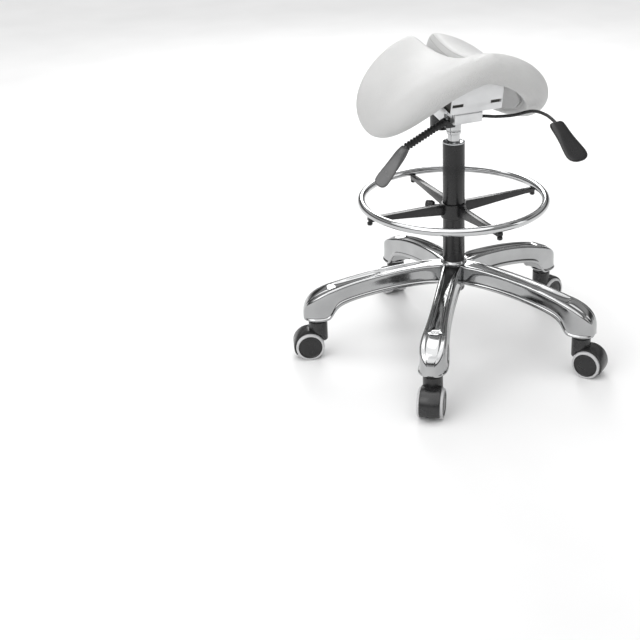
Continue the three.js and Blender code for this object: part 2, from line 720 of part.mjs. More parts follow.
function seatFrame() {
  const { halfWidth: w, front, rear, bottom, sheet } = pan;
  const floor = block([-w, front, bottom], [w, rear, bottom + sheet]);
  const flanges = [
    block([-w, front, bottom], [w, front + sheet, bottom + 62]),
    block([-w, rear - sheet, bottom], [w, rear, bottom + 62]),
  ];
  const { pivotY, pivotZ, halfWidth, pivotRadius } = mechanism;
  const ears = [-1, 1].map((side) => {
    const inner = side * (halfWidth + 1);
    const outer = side * (halfWidth + 4);
    return block([Math.min(inner, outer), pivotY - 12, pivotZ - 9],
      [Math.max(inner, outer), pivotY + 12, bottom + 1]);
  });
  const pivotHole = alongX(rod(pivotRadius + fitGap, -60, 60)).translate(0, pivotY, pivotZ);
  const slots = [-1, 1].map((side) =>
    block([side * 46 - 13, front - 5, bottom + 16], [side * 46 + 13, front + 8, bottom + 23]));
  const boltHoles = boltPlaces.map(([x, y]) => rod(4.4, bottom - 5, bottom + 10, 12).translate(x, y, 0));
  return combine(floor, {
    add: [...flanges, ...ears],
    cut: [pivotHole, ...slots, ...boltHoles, shellAndAbove()],
  });
}
place(tilted, "seat_frame", seatFrame(), materials.zinc);

function seatRiser() {
  const { halfWidth: w, front, rear, bottom, sheet } = pan;
  const low = bottom + sheet + fitGap;
  const body = block([-w + 4, front + sheet + 1, low], [w - 4, rear - sheet - 1, bottom + 90]);
  const boltHoles = boltPlaces.map(([x, y]) => rod(4.4, low - 5, low + 19, 12).translate(x, y, 0));
  return combine(body, { cut: [shellAndAbove(), ...boltHoles] });
}
place(tilted, "seat_riser", seatRiser(), materials.shell);

boltPlaces.forEach(([x, y, length], k) => {
  const under = pan.bottom - fitGap;
  const bolt = turned([
    [0, under - 5.5], [7, under - 5.5], [7, under], [4, under], [4, under + length], [0, under + length],
  ], 12);
  place(tilted, `seat_bolt_${k + 1}`, bolt.translate(x, y, 0), materials.steel);
});

export default stool;
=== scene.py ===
import json
import math

import bmesh
import bpy
from mathutils import Euler, Matrix, Vector
from mathutils.kdtree import KDTree


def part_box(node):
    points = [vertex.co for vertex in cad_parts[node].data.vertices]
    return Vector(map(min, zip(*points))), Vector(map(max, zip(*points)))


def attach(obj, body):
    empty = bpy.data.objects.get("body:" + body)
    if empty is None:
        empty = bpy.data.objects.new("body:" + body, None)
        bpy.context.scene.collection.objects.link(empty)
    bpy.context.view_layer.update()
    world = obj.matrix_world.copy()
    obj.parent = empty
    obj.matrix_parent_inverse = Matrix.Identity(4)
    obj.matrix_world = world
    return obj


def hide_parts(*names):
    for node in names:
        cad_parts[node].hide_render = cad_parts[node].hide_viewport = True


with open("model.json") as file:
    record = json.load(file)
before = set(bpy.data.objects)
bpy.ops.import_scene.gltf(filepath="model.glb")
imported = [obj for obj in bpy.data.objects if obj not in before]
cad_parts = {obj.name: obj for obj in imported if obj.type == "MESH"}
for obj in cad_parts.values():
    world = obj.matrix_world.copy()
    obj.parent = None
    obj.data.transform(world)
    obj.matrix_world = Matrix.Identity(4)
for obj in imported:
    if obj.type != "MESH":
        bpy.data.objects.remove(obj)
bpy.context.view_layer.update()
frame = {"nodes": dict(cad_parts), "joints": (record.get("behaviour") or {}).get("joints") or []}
joints = {joint["name"]: joint for joint in frame["joints"]}
print("frame loaded:", len(frame["nodes"]), "nodes")

mm = 0.001
fitGap = 0.3  # mm left between pieces that touch
rad = math.radians


# mesh helpers, all in millimetres until the mesh is made

def makeMesh(name, points, faces, weld=0.01):
    mesh = bpy.data.meshes.new(name)
    mesh.from_pydata([Vector(p) * mm for p in points], [], faces)
    shape = bmesh.new()
    shape.from_mesh(mesh)
    bmesh.ops.remove_doubles(shape, verts=shape.verts, dist=weld * mm)
    bmesh.ops.recalc_face_normals(shape, faces=shape.faces)
    shape.to_mesh(mesh)
    shape.free()
    piece = bpy.data.objects.new(name, mesh)
    bpy.context.scene.collection.objects.link(piece)
    return piece


def loft(name, rings, closed=False, weld=0.01):
    # skin over rings of points that all have the same count; the ends are closed with fans
    count = len(rings[0])
    points = [p for ring in rings for p in ring]
    faces = []
    rows = len(rings)
    for j in range(rows if closed else rows - 1):
        for i in range(count):
            a, b = j * count + i, j * count + (i + 1) % count
            up = ((j + 1) % rows - j) * count
            faces.append((a, b, b + up, a + up))
    if not closed:
        for row in (0, rows - 1):
            hub = len(points)
            points.append(sum((Vector(p) for p in rings[row]), Vector()) / count)
            faces += [(row * count + i, row * count + (i + 1) % count, hub) for i in range(count)]
    return makeMesh(name, points, faces, weld)


def lathe(name, profile, segments=64, place=None):
    # turned about Z; the profile is a list of (radius, height) and may start and end on the axis
    place = place or Matrix()
    rings = []
    for k in range(segments):
        turn = 2 * math.pi * k / segments
        ring = [place @ Vector((r * math.cos(turn), r * math.sin(turn), z)) for r, z in profile]
        rings.append(ring)
    points = [p for ring in rings for p in ring]
    size = len(profile)
    faces = []
    for k in range(segments):
        for i in range(size if profile[0][0] > 0 else size - 1):
            a, b = k * size + i, k * size + (i + 1) % size
            c, d = (k + 1) % segments * size + (i + 1) % size, (k + 1) % segments * size + i
            corners = [a, b, c, d]
            if profile[i][0] == 0:
                corners = [a, b, c]
            elif profile[(i + 1) % size][0] == 0:
                corners = [a, b, d]
            faces.append(corners)
    return makeMesh(name, points, faces)


def arcPoints(centre, radius, start, end, steps):
    # points on an arc in a profile's plane, angles in degrees
    return [(centre[0] + radius * math.cos(rad(start + (end - start) * k / steps)),
             centre[1] + radius * math.sin(rad(start + (end - start) * k / steps)))
            for k in range(steps + 1)]


def smoothPath(points, perSpan=8):
    # Catmull-Rom curve through the points
    path = [Vector(p) for p in points]
    ends = [path[0] * 2 - path[1]] + path + [path[-1] * 2 - path[-2]]
    out = []
    for k in range(len(path) - 1):
        a, b, c, d = ends[k:k + 4]
        for step in range(perSpan):
            t = step / perSpan
            out.append(0.5 * (2 * b + (c - a) * t + (2 * a - 5 * b + 4 * c - d) * t * t
                              + (3 * b - a - 3 * c + d) * t ** 3))
    return out + [path[-1]]


def sweptRings(path, section, side):
    # rings of section(share) = [(across, up)] along a path, with the across axis kept near side
    rings = []
    for k, spot in enumerate(path):
        along = (path[min(k + 1, len(path) - 1)] - path[max(k - 1, 0)]).normalized()
        across = (Vector(side) - along * along.dot(Vector(side))).normalized()
        up = along.cross(across)
        rings.append([spot + across * u + up * v for u, v in section(k / (len(path) - 1))])
    return rings


def roundSection(radius, sides):
    return [(radius * math.cos(2 * math.pi * k / sides), radius * math.sin(2 * math.pi * k / sides))
            for k in range(sides)]


def extruded(name, outline, low, high, place=None):
    # an outline in the XZ plane, run across Y from low to high
    place = place or Matrix()
    count = len(outline)
    points = [place @ Vector((x, y, z)) for y in (low, high) for x, z in outline]
    faces = [(i, (i + 1) % count, count + (i + 1) % count, count + i) for i in range(count)]
    faces += [tuple(range(count)), tuple(range(count, 2 * count))]
    return makeMesh(name, points, faces)


def settle(piece):
    # the evaluated mesh replaces the live modifiers
    mesh = bpy.data.meshes.new_from_object(
        piece.evaluated_get(bpy.context.evaluated_depsgraph_get()), depsgraph=None)
    piece.modifiers.clear()
    piece.data = mesh
    return piece


def soften(piece, bevel=0.0, segments=3, levels=0, sharp=40):
    # rounds the edges, subdivides, and shades smooth up to the sharp angle
    if bevel:
        edge = piece.modifiers.new("roundEdges", "BEVEL")
        edge.width, edge.segments = bevel * mm, segments
        edge.limit_method, edge.angle_limit = "ANGLE", rad(28)
        edge.use_clamp_overlap = True
    if levels:
        fine = piece.modifiers.new("fine", "SUBSURF")
        fine.levels = fine.render_levels = levels
    settle(piece)
    piece.data.shade_smooth()
    piece.data.set_sharp_from_angle(angle=rad(sharp))
    return piece


def cutWith(piece, tools, operation="DIFFERENCE"):
    for tool in tools:
        cut = piece.modifiers.new("cut", "BOOLEAN")
        cut.operation, cut.object, cut.solver = operation, tool, "EXACT"
        settle(piece)
        bpy.data.objects.remove(tool)
    return piece


def joined(name, parts):
    # several meshes as one piece, already in place
    shape = bmesh.new()
    for part in parts:
        shape.from_mesh(part.data)
    mesh = bpy.data.meshes.new(name)
    shape.to_mesh(mesh)
    shape.free()
    for part in parts:
        bpy.data.objects.remove(part)
    piece = bpy.data.objects.new(name, mesh)
    bpy.context.scene.collection.objects.link(piece)
    return piece


def copyTo(piece, name, place):
    twin = bpy.data.objects.new(name, piece.data.copy())
    bpy.context.scene.collection.objects.link(twin)
    twin.data.transform(place)
    return twin


def finishPiece(piece, body, material, nodes=()):
    piece.data.materials.clear()
    piece.data.materials.append(material)
    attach(piece, body)
    if nodes:
        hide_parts(*nodes)
    return piece


# geometry node helpers

def newTree(name, sizes):
    tree = bpy.data.node_groups.new(name, "GeometryNodeTree")
    tree.interface.new_socket("Geometry", in_out="INPUT", socket_type="NodeSocketGeometry")
    for label, kind in sizes:
        tree.interface.new_socket(label, in_out="INPUT", socket_type="NodeSocket" + kind)
    tree.interface.new_socket("Geometry", in_out="OUTPUT", socket_type="NodeSocketGeometry")
    return tree, tree.nodes.new("NodeGroupInput"), tree.nodes.new("NodeGroupOutput")


def addNode(tree, kind, settings=None, **values):
    # values go to inputs by name, either a constant or the socket that feeds them
    node = tree.nodes.new(kind)
    for key, value in (settings or {}).items():
        setattr(node, key, value)
    for key, value in values.items():
        socket = next(s for s in node.inputs if s.name.replace(" ", "") == key and s.enabled)
        if isinstance(value, bpy.types.NodeSocket):
            tree.links.new(value, socket)
        else:
            socket.default_value = value
    return node


def endTree(tree, groupOut, geometry, material):
    real = addNode(tree, "GeometryNodeRealizeInstances", Geometry=geometry)
    smooth = addNode(tree, "GeometryNodeSetShadeSmooth", Geometry=real.outputs[0])
    coat = addNode(tree, "GeometryNodeSetMaterial", Geometry=smooth.outputs[0], Material=material)
    tree.links.new(coat.outputs[0], groupOut.inputs[0])


def growPiece(name, tree, values, base=None):
    # runs a tree on a mesh and keeps the result as a plain mesh
    piece = bpy.data.objects.new(name, base or bpy.data.meshes.new(name))
    bpy.context.scene.collection.objects.link(piece)
    grow = piece.modifiers.new("grow", "NODES")
    grow.node_group = tree
    for item in tree.interface.items_tree:
        if item.item_type == "SOCKET" and item.in_out == "INPUT" and item.name in values:
            grow[item.identifier] = values[item.name]
    return settle(piece)


# shader node groups that several finishes share

def newGroup(name, inputs, outputs):
    group = bpy.data.node_groups.new(name, "ShaderNodeTree")
    for label, kind, value in inputs:
        socket = group.interface.new_socket(label, in_out="INPUT", socket_type="NodeSocket" + kind)
        if value is not None:
            socket.default_value = value
    for label, kind in outputs:
        group.interface.new_socket(label, in_out="OUTPUT", socket_type="NodeSocket" + kind)
    return group, group.nodes.new("NodeGroupInput"), group.nodes.new("NodeGroupOutput")


def makeGrainGroup():
    # pebbled leather: cells with creases between them, and a slow change in tone
    group, come, go = newGroup("leatherGrain", [("Vector", "Vector", None), ("Scale", "Float", 600.0)],
                               [("Height", "Float"), ("Tone", "Float")])
    warp = addNode(group, "ShaderNodeTexNoise", Vector=come.outputs["Vector"], Scale=220.0, Detail=2.0)
    shift = addNode(group, "ShaderNodeVectorMath", {"operation": "MULTIPLY_ADD"})
    group.links.new(warp.outputs["Color"], shift.inputs[0])
    shift.inputs[1].default_value = (0.0016, 0.0016, 0.0016)
    group.links.new(come.outputs["Vector"], shift.inputs[2])
    cells = addNode(group, "ShaderNodeTexVoronoi", {"feature": "DISTANCE_TO_EDGE"},
                    Vector=shift.outputs[0], Scale=come.outputs["Scale"])
    crease = addNode(group, "ShaderNodeMapRange", {"interpolation_type": "SMOOTHSTEP"},
                     Value=cells.outputs["Distance"], FromMin=0.0, FromMax=0.16, ToMin=0.0, ToMax=1.0)
    fine = addNode(group, "ShaderNodeTexNoise", Vector=come.outputs["Vector"], Scale=1500.0, Detail=3.0)
    mix = addNode(group, "ShaderNodeMath", {"operation": "MULTIPLY_ADD"})
    group.links.new(fine.outputs["Fac"], mix.inputs[0])
    mix.inputs[1].default_value = 0.35
    group.links.new(crease.outputs["Result"], mix.inputs[2])
    slow = addNode(group, "ShaderNodeTexNoise", Vector=come.outputs["Vector"], Scale=9.0, Detail=3.0)
    group.links.new(mix.outputs[0], go.inputs["Height"])
    group.links.new(slow.outputs["Fac"], go.inputs["Tone"])
    return group


def makeSmudgeGroup():
    # roughness that wanders between two values, as handled and wiped surfaces do
    group, come, go = newGroup("handling", [
        ("Vector", "Vector", None), ("Scale", "Float", 20.0), ("Low", "Float", 0.1), ("High", "Float", 0.2)],
        [("Roughness", "Float"), ("Height", "Float")])
    cloud = addNode(group, "ShaderNodeTexNoise", Vector=come.outputs["Vector"],
                    Scale=come.outputs["Scale"], Detail=5.0, Roughness=0.6)
    spread = addNode(group, "ShaderNodeMapRange", Value=cloud.outputs["Fac"], FromMin=0.35, FromMax=0.7,
                     ToMin=come.outputs["Low"], ToMax=come.outputs["High"])
    fine = addNode(group, "ShaderNodeTexNoise", Vector=come.outputs["Vector"], Scale=900.0, Detail=2.0)
    group.links.new(spread.outputs["Result"], go.inputs["Roughness"])
    group.links.new(fine.outputs["Fac"], go.inputs["Height"])
    return group


def makeWearGroup():
    # a mask for edges that rub bright, broken up by noise; Pointiness comes from the material
    group, come, go = newGroup("edgeWear", [
        ("Vector", "Vector", None), ("Pointiness", "Float", 0.5), ("Amount", "Float", 0.5)],
        [("Mask", "Float")])
    patch = addNode(group, "ShaderNodeTexNoise", Vector=come.outputs["Vector"], Scale=60.0, Detail=4.0)
    edge = addNode(group, "ShaderNodeMapRange", {"interpolation_type": "SMOOTHSTEP"},
                   Value=come.outputs["Pointiness"], FromMin=0.52, FromMax=0.62)
    broken = addNode(group, "ShaderNodeMath", {"operation": "MULTIPLY"})
    group.links.new(edge.outputs["Result"], broken.inputs[0])
    group.links.new(patch.outputs["Fac"], broken.inputs[1])
    scaled = addNode(group, "ShaderNodeMath", {"operation": "MULTIPLY", "use_clamp": True})
    group.links.new(broken.outputs[0], scaled.inputs[0])
    group.links.new(come.outputs["Amount"], scaled.inputs[1])
    group.links.new(scaled.outputs[0], go.inputs["Mask"])
    return group


leatherGrain = makeGrainGroup()
handling = makeSmudgeGroup()
edgeWear = makeWearGroup()


def startMaterial(name, **plain):
    material = bpy.data.materials.new(name)
    material.use_nodes = True
    tree = material.node_tree
    shader = tree.nodes["Principled BSDF"]
    for key, value in plain.items():
        socket = next(s for s in shader.inputs if s.name.replace(" ", "") == key)
        socket.default_value = value
    place = tree.nodes.new("ShaderNodeTexCoord")
    return material, tree, shader, place.outputs["Object"]


def useGroup(tree, group, **values):
    node = tree.nodes.new("ShaderNodeGroup")
    node.node_tree = group
    for key, value in values.items():
        if isinstance(value, bpy.types.NodeSocket):
            tree.links.new(value, node.inputs[key])
        else:
            node.inputs[key].default_value = value
    return node


def addBump(tree, shader, height, depth, strength=0.5):
    bump = addNode(tree, "ShaderNodeBump", Strength=strength, Distance=depth, Height=height)
    tree.links.new(bump.outputs["Normal"], shader.inputs["Normal"])
    return bump


def blendColour(tree, shader, mask, dark, light, low=0.35, high=0.65):
    ramp = addNode(tree, "ShaderNodeValToRGB", Fac=mask)
    ramp.color_ramp.elements[0].position = low
    ramp.color_ramp.elements[0].color = (*dark, 1)
    ramp.color_ramp.elements[1].position = high
    ramp.color_ramp.elements[1].color = (*light, 1)
    tree.links.new(ramp.outputs["Color"], shader.inputs["Base Color"])
    return ramp


def makeLeather(name, dark, light, scale, depth, roughness):
    material, tree, shader, here = startMaterial(name, SheenWeight=0.15, SheenRoughness=0.4)
    grain = useGroup(tree, leatherGrain, Vector=here, Scale=scale)
    blendColour(tree, shader, grain.outputs["Tone"], dark, light, 0.3, 0.7)
    addBump(tree, shader, grain.outputs["Height"], depth)
    touch = useGroup(tree, handling, Vector=here, Scale=14.0, Low=roughness, High=roughness + 0.1)
    tree.links.new(touch.outputs["Roughness"], shader.inputs["Roughness"])
    return material


def makeMetal(name, dark, light, low, high, bump=0.0, scale=25.0, tone=12.0):
    # bare metal: tone clouds, wiped roughness and a very fine surface
    material, tree, shader, here = startMaterial(name, Metallic=1.0)
    cloud = addNode(tree, "ShaderNodeTexNoise", Vector=here, Scale=tone, Detail=4.0)
    blendColour(tree, shader, cloud.outputs["Fac"], dark, light)
    touch = useGroup(tree, handling, Vector=here, Scale=scale, Low=low, High=high)
    tree.links.new(touch.outputs["Roughness"], shader.inputs["Roughness"])
    if bump:
        addBump(tree, shader, touch.outputs["Height"], bump, 0.3)
    return material


def makePlastic(name, dark, light, low, high, grain=500.0, depth=0.00015, wear=0.0, worn=(0.2, 0.2, 0.2)):
    # moulded or painted: fine texture, wandering gloss, and edges that rub lighter
    material, tree, shader, here = startMaterial(name)
    tone = addNode(tree, "ShaderNodeTexNoise", Vector=here, Scale=35.0, Detail=3.0)
    ramp = blendColour(tree, shader, tone.outputs["Fac"], dark, light)
    if wear:
        shape = tree.nodes.new("ShaderNodeNewGeometry")
        edge = useGroup(tree, edgeWear, Vector=here, Pointiness=shape.outputs["Pointiness"], Amount=wear)
        over = tree.nodes.new("ShaderNodeMix")
        over.data_type = "RGBA"
        colours = [s for s in over.inputs if s.type == "RGBA"]
        tree.links.new(edge.outputs["Mask"], over.inputs["Factor"])
        tree.links.new(ramp.outputs["Color"], colours[0])
        colours[1].default_value = (*worn, 1)
        tree.links.new(next(s for s in over.outputs if s.type == "RGBA"), shader.inputs["Base Color"])
    touch = useGroup(tree, handling, Vector=here, Scale=30.0, Low=low, High=high)
    tree.links.new(touch.outputs["Roughness"], shader.inputs["Roughness"])
    fine = addNode(tree, "ShaderNodeTexNoise", Vector=here, Scale=grain, Detail=2.0)
    addBump(tree, shader, fine.outputs["Fac"], depth, 0.35)
    return material


def makePlywood():
    # thin plies seen on the edge of the riser board
    material, tree, shader, here = startMaterial("paintedPlywood", Roughness=0.65)
    bands = addNode(tree, "ShaderNodeTexWave", {"bands_direction": "Z"}, Vector=here, Scale=95.0,
                    Distortion=1.2, Detail=2.0)
    blendColour(tree, shader, bands.outputs["Color"], (0.05, 0.048, 0.045), (0.085, 0.08, 0.074), 0.3, 0.7)
    addBump(tree, shader, bands.outputs["Fac"], 0.0002)
    return material


finish = {
    "leather": makeLeather("whiteLeather", (0.60, 0.60, 0.595), (0.66, 0.66, 0.655), 260.0, 0.0035, 0.34),
    # the underside cover is a light grey leatherette near the top leather's colour; it is made darker here as
    # painted shade for the shade under the seat
    "underside": makeLeather("leatherettePaintedShade", (0.42, 0.42, 0.42), (0.50, 0.50, 0.50), 900.0, 0.0002, 0.55),
    "seam": makePlastic("seamThread", (0.36, 0.36, 0.36), (0.46, 0.46, 0.455), 0.6, 0.75, 3000.0),
    "polished": makeMetal("polishedAluminium", (0.38, 0.383, 0.386), (0.45, 0.453, 0.456), 0.07, 0.13,
                          0.00002),
    "chrome": makeMetal("chromePlate", (0.52, 0.525, 0.53), (0.60, 0.605, 0.61), 0.04, 0.09),
    "satinSteel": makeMetal("satinSteel", (0.52, 0.53, 0.54), (0.64, 0.65, 0.66), 0.25, 0.38, 0.00005, 60.0),
    "pan": makeMetal("zincPlate", (0.58, 0.585, 0.59), (0.70, 0.705, 0.71), 0.30, 0.42, 0.00006, 45.0),
    "blackSteel": makePlastic("blackPowderCoat", (0.007, 0.007, 0.0075), (0.009, 0.009, 0.0095), 0.26, 0.30,
                              1100.0, 0.00006),
    "blackPlastic": makePlastic("blackNylon", (0.008, 0.008, 0.0085), (0.011, 0.011, 0.0115), 0.24, 0.30,
                                800.0, 0.00008, 0.08),
    "greyPlastic": makePlastic("greyNylon", (0.075, 0.075, 0.076), (0.10, 0.10, 0.101), 0.22, 0.32,
                               800.0, 0.00008),
    "rubber": makePlastic("bellowsRubber", (0.010, 0.010, 0.010), (0.02, 0.02, 0.02), 0.45, 0.65,
                          1400.0, 0.0002, 0.15),
    "tread": makePlastic("greyTread", (0.46, 0.46, 0.465), (0.56, 0.56, 0.565), 0.45, 0.6, 700.0, 0.0001,
                         0.3, (0.3, 0.3, 0.3)),
    "plywood": makePlywood(),
}
print("finishes made:", len(finish))


# five-arm base: a run of sections along one arm, cut at the plane halfway to its neighbour
star = {
    "arms": 5,
    # distance out, half width, top, underside, depth of the groove on top, height of the flank's ledge
    "stations": [
        (18, 25.0, 214.0, 173.0, 0.2, 4.0),
        (26, 25.2, 214.0, 172.5, 0.4, 4.0),
        (34, 26.2, 214.0, 172.0, 0.6, 5.0),
        (42, 26.6, 214.0, 171.0, 0.9, 6.0),
        (52, 25.8, 213.8, 170.0, 1.6, 7.0),
        (64, 25.0, 213.4, 169.5, 3.2, 8.0),
        (80, 24.4, 212.4, 168.5, 5.0, 8.5),
        (110, 23.8, 209.2, 166.0, 6.6, 9.0),
        (150, 23.4, 203.6, 160.8, 7.0, 9.0),
        (190, 23.6, 196.4, 153.2, 7.0, 9.0),
        (225, 24.6, 188.6, 145.5, 6.8, 9.0),
        (252, 26.2, 181.4, 137.5, 6.2, 9.5),
        (268, 28.0, 176.6, 130.0, 5.2, 11.0),
        (278, 29.4, 173.4, 120.0, 3.6, 12.0),
        (285, 30.4, 171.4, 108.0, 1.6, 11.0),
        (292, 31.2, 169.2, 99.4, -2.4, 8.0),
        (302, 32.0, 165.4, 98.0, -3.4, 6.0),
        (316, 32.2, 159.0, 98.0, -3.4, 5.5),
        (330, 30.0, 150.6, 98.0, -2.8, 5.5),
        (341, 24.6, 140.2, 98.0, -2.0, 5.5),
        (347.5, 17.4, 128.6, 98.0, -1.2, 5.5),
        (350.3, 9.5, 118.0, 98.2, -0.6, 5.0),
    ],
}


def armSection(station):
    r, half, top, low, groove, ledge = station
    mid = 0.5 * (top + low)
    closed = low > 171.5 or low < 100  # the casting is hollow underneath between hub and end
    hollow = 1.5 if closed else min(20.0, top - low - 14)
    side = [
        (0, top - groove), (0.30 * half, top - groove * 0.96), (0.44 * half, top - groove * 0.72),
        (0.50 * half, top - max(groove, 0) * 0.16), (0.60 * half, top), (0.76 * half, top - 0.5),
        (0.865 * half, top - 3.2), (0.895 * half, top - 9.5), (0.87 * half, mid),
        (0.895 * half, low + ledge + 3),
        (0.93 * half, low + ledge), (1.0 * half, low + ledge * 0.72), (1.02 * half, low + 1.4),
        (0.985 * half, low),
        (0.86 * half, low), (0.82 * half, low + hollow * 0.5), (0.55 * half, low + hollow), (0, low + hollow),
    ]
    limit = r * math.tan(math.pi / star["arms"])
    kept = [(r, min(y, limit), z) for y, z in side]
    return kept[:-1] + [kept[-1]] + [(x, -y, z) for x, y, z in reversed(kept[1:-1])]


def makeStar():
    rings = [armSection(station) for station in star["stations"]]
    count = len(rings[0])
    points, faces = [], []
    for arm in range(star["arms"]):
        turn = Matrix.Rotation(rad(90 + 360 * arm / star["arms"]), 4, "Z")
        first = len(points)
        points += [turn @ Vector(p) for ring in rings for p in ring]
        for j in range(len(rings) - 1):
            for i in range(count):
                quad = [j * count + i, j * count + (i + 1) % count,
                        (j + 1) * count + (i + 1) % count, (j + 1) * count + i]
                corners = [rings[q // count][q % count] for q in quad]
                split = [abs(abs(y) - x * math.tan(math.pi / star["arms"])) < 1e-6 for x, y, _ in corners]
                if not all(split):  # no wall between neighbours
                    faces.append([first + q for q in quad])
        tip = len(points)
        points.append(turn @ Vector((351.0, 0, 107.0)))
        last = first + (len(rings) - 1) * count
        faces += [(last + i, last + (i + 1) % count, tip) for i in range(count)]
    body = makeMesh("baseStar", points, faces, 0.05)
    fine = body.modifiers.new("fine", "SUBSURF")
    fine.levels = fine.render_levels = 2
    settle(body)
    collar = lathe("hubCollar", [(25.2, 205), (34, 205), (34, 213.2), (30.5, 213.6), (28.4, 215), (27.2,
        217.2),
                                 (26.6, 219.4), (25.9, 220), (25.2, 220)], 96)
    boss = lathe("hubBoss", [(25.2, 160.4), (30, 160.4), (32, 161.4), (33, 163.6), (34.5, 176), (34.5, 185),
                             (25.2, 185)], 96)
    rims = []
    for arm in range(star["arms"]):
        turn = Matrix.Rotation(rad(90 + 360 * arm / star["arms"]), 4, "Z") @ Matrix.Translation((318, 0, 0))
        rims.append(lathe(f"socketRim{arm}",
                          [(6.2, 97.9), (24, 97.9), (25.5, 98.4), (25.5, 101), (6.2, 101)], 48, turn))
    piece = joined("base_star_casting", [body, collar, boss, *rims])
    piece.data.shade_smooth()
    piece.data.set_sharp_from_angle(angle=rad(50))
    return piece


finishPiece(makeStar(), "base", finish["polished"], ["base_star"])
print("base done")


# castors
castor = {
    "wheelRadius": 32.5,
    "trail": 21.0,
    "fenderRadius": 37.2,
    "fenderHalfWidth": 22.5,
    "webHalfWidth": 8.8,
    "neckRadius": 21.5,
    "neckTop": 97.4,
    "neckBottom": 58.0,
    "discRadius": 26.5,
}
castorAxle = Matrix.Translation((castor["trail"], 0, castor["wheelRadius"])) @ Matrix.Rotation(rad(-90), 4,
    "X")


def makeHood():
    c = castor
    disc = lathe("hood", [(0, -c["fenderHalfWidth"]), (c["fenderRadius"] - 3.2, -c["fenderHalfWidth"]),
                          (c["fenderRadius"] - 0.9, -c["fenderHalfWidth"] + 0.9),
                          (c["fenderRadius"], -c["fenderHalfWidth"] + 3.2),
                          (c["fenderRadius"], c["fenderHalfWidth"] - 3.2),
                          (c["fenderRadius"] - 0.9, c["fenderHalfWidth"] - 0.9),
                          (c["fenderRadius"] - 3.2, c["fenderHalfWidth"]), (0, c["fenderHalfWidth"])], 96,
                          castorAxle)
    neck = lathe("neck", [(0, c["neckBottom"] - 14), (c["neckRadius"], c["neckBottom"] - 14),
                          (c["neckRadius"], 88.5),
                          (20.6, 89.4), (19.4, 90.0), (19.4, 92.2), (20.4, 92.8), (20.8, 94), (20.8, 96.6),
                          (20.0, c["neckTop"]), (0, c["neckTop"])], 72)
    below = extruded("below", [(-60, -60), (c["trail"] + 12, -60), (c["trail"] + 12, 28.5), (-60, 28.5)],
                     -60, 60)
    behind = extruded("behind", [(c["trail"] - 60, -60), (120, -60), (120, 15), (c["trail"] - 60, 15)], -60,
                      60)
    inward = extruded("inward", [(-60, -60), (-6, -60), (-6, 58), (-60, 58)], -60, 60)
    hood = cutWith(disc, [below, behind, inward])
    hood = cutWith(hood, [neck], "UNION")
    pocket = c["wheelRadius"] + 1.5
    pockets = [lathe("pocket", [(0, side * c["webHalfWidth"]), (pocket, side * c["webHalfWidth"]),
                                (pocket, side * 60), (0, side * 60)], 96, castorAxle) for side in (-1, 1)]
    hood = cutWith(hood, pockets)
    web = lathe("web", [(0, -c["webHalfWidth"]), (22, -c["webHalfWidth"]), (24, -c["webHalfWidth"] + 2),
                        (24, c["webHalfWidth"] - 2), (22, c["webHalfWidth"]), (0, c["webHalfWidth"])], 64,
                        castorAxle)
    hood = cutWith(hood, [web], "UNION")
    return soften(hood, 0.7, 2, 0, 35)


def makeWheel():
    r = castor["wheelRadius"]
    tread = lathe("tread", [(r - 6.2, 9.6), (r - 2.2, 9.6), (r - 0.8, 10.2), (r, 11.8), (r + 0.0, 15.6),
                            (r - 0.25, 17.4),
                            (r, 19.2), (r, 24.8), (r - 0.7, 26.6), (r - 2.4, 27.7), (r - 4.0, 27.9),
                            (r - 4.8, 27.4),
                            (r - 6.2, 26.8)], 96, castorAxle)
    d = castor["discRadius"]
    dish = [(0, 23), (d + 1.2, 23), (d + 1.2, 26.4), (d + 0.8, 27.3), (d - 0.4, 27.9), (d - 1.4, 27.7),
            (d - 2.2, 26.6),
            (d - 3.4, 26.3), (d - 7, 26.9), (15, 27.9), (8, 28.15), (0, 28.2)]
    disc = lathe("disc", dish, 96, castorAxle)
    back = lathe("discBack", [(4.4, 9.8), (d + 0.8, 9.8), (d + 0.8, 23.2), (4.4, 23.2)], 64, castorAxle)
    return soften(tread, 0, 0, 0, 50), soften(joined("wheelDisc", [disc, back]), 0.25, 2, 0, 40)


castorHood = makeHood()
castorTread, castorDisc = makeWheel()
castorStem = lathe("stem", [(0, 72), (5.2, 72), (5.2, 129), (3.5, 132), (0, 132)], 32)
castorPin = lathe("axle", [(0, -21.8), (3.8, -21.8), (3.8, 21.8), (0, 21.8)], 32, castorAxle)
for number in range(1, star["arms"] + 1):
    swivel = joints[f"caster_{number}_swivel"]["pos_m"]
    outward = math.atan2(swivel[1], swivel[0])
    place = Matrix.Translation((swivel[0], swivel[1], 0)) @ Matrix.Rotation(outward, 4, "Z")
    body = f"caster_{number}"
    finishPiece(copyTo(castorHood, body + "_hood_shell", place), body,
                finish["blackPlastic"],
                [body + "_hood"])
    finishPiece(copyTo(castorStem, body + "_stem_pin", place), body, finish["satinSteel"],
                [body + "_stem"])
    finishPiece(copyTo(castorPin, body + "_axle_pin", place), body, finish["satinSteel"],
                [body + "_axle"])
    for side, flip in (("left", Matrix()), ("right", Matrix.Rotation(math.pi, 4, "Z"))):
        middle = Matrix.Translation((castor["trail"] * mm, 0, 0))
        spot = place @ middle @ flip @ middle.inverted()
        wheelBody = f"{body}_wheel_{side}_body"
        finishPiece(copyTo(castorTread, f"{body}_tread_{side}", spot), wheelBody,
                    finish["tread"],
                    [f"{body}_wheel_{side}"])
        finishPiece(copyTo(castorDisc, f"{body}_disc_{side}", spot), wheelBody,
                    finish["blackPlastic"])
for spare in (castorHood, castorTread, castorDisc, castorStem, castorPin):
    bpy.data.objects.remove(spare)
print("castors done")


# column and gas spring
column = {"radius": 25.0, "wall": 2.4, "bottom": 145.0, "top": 500.0}
gas = {"radius": 14.0, "bottom": 245.0, "top": 558.0}


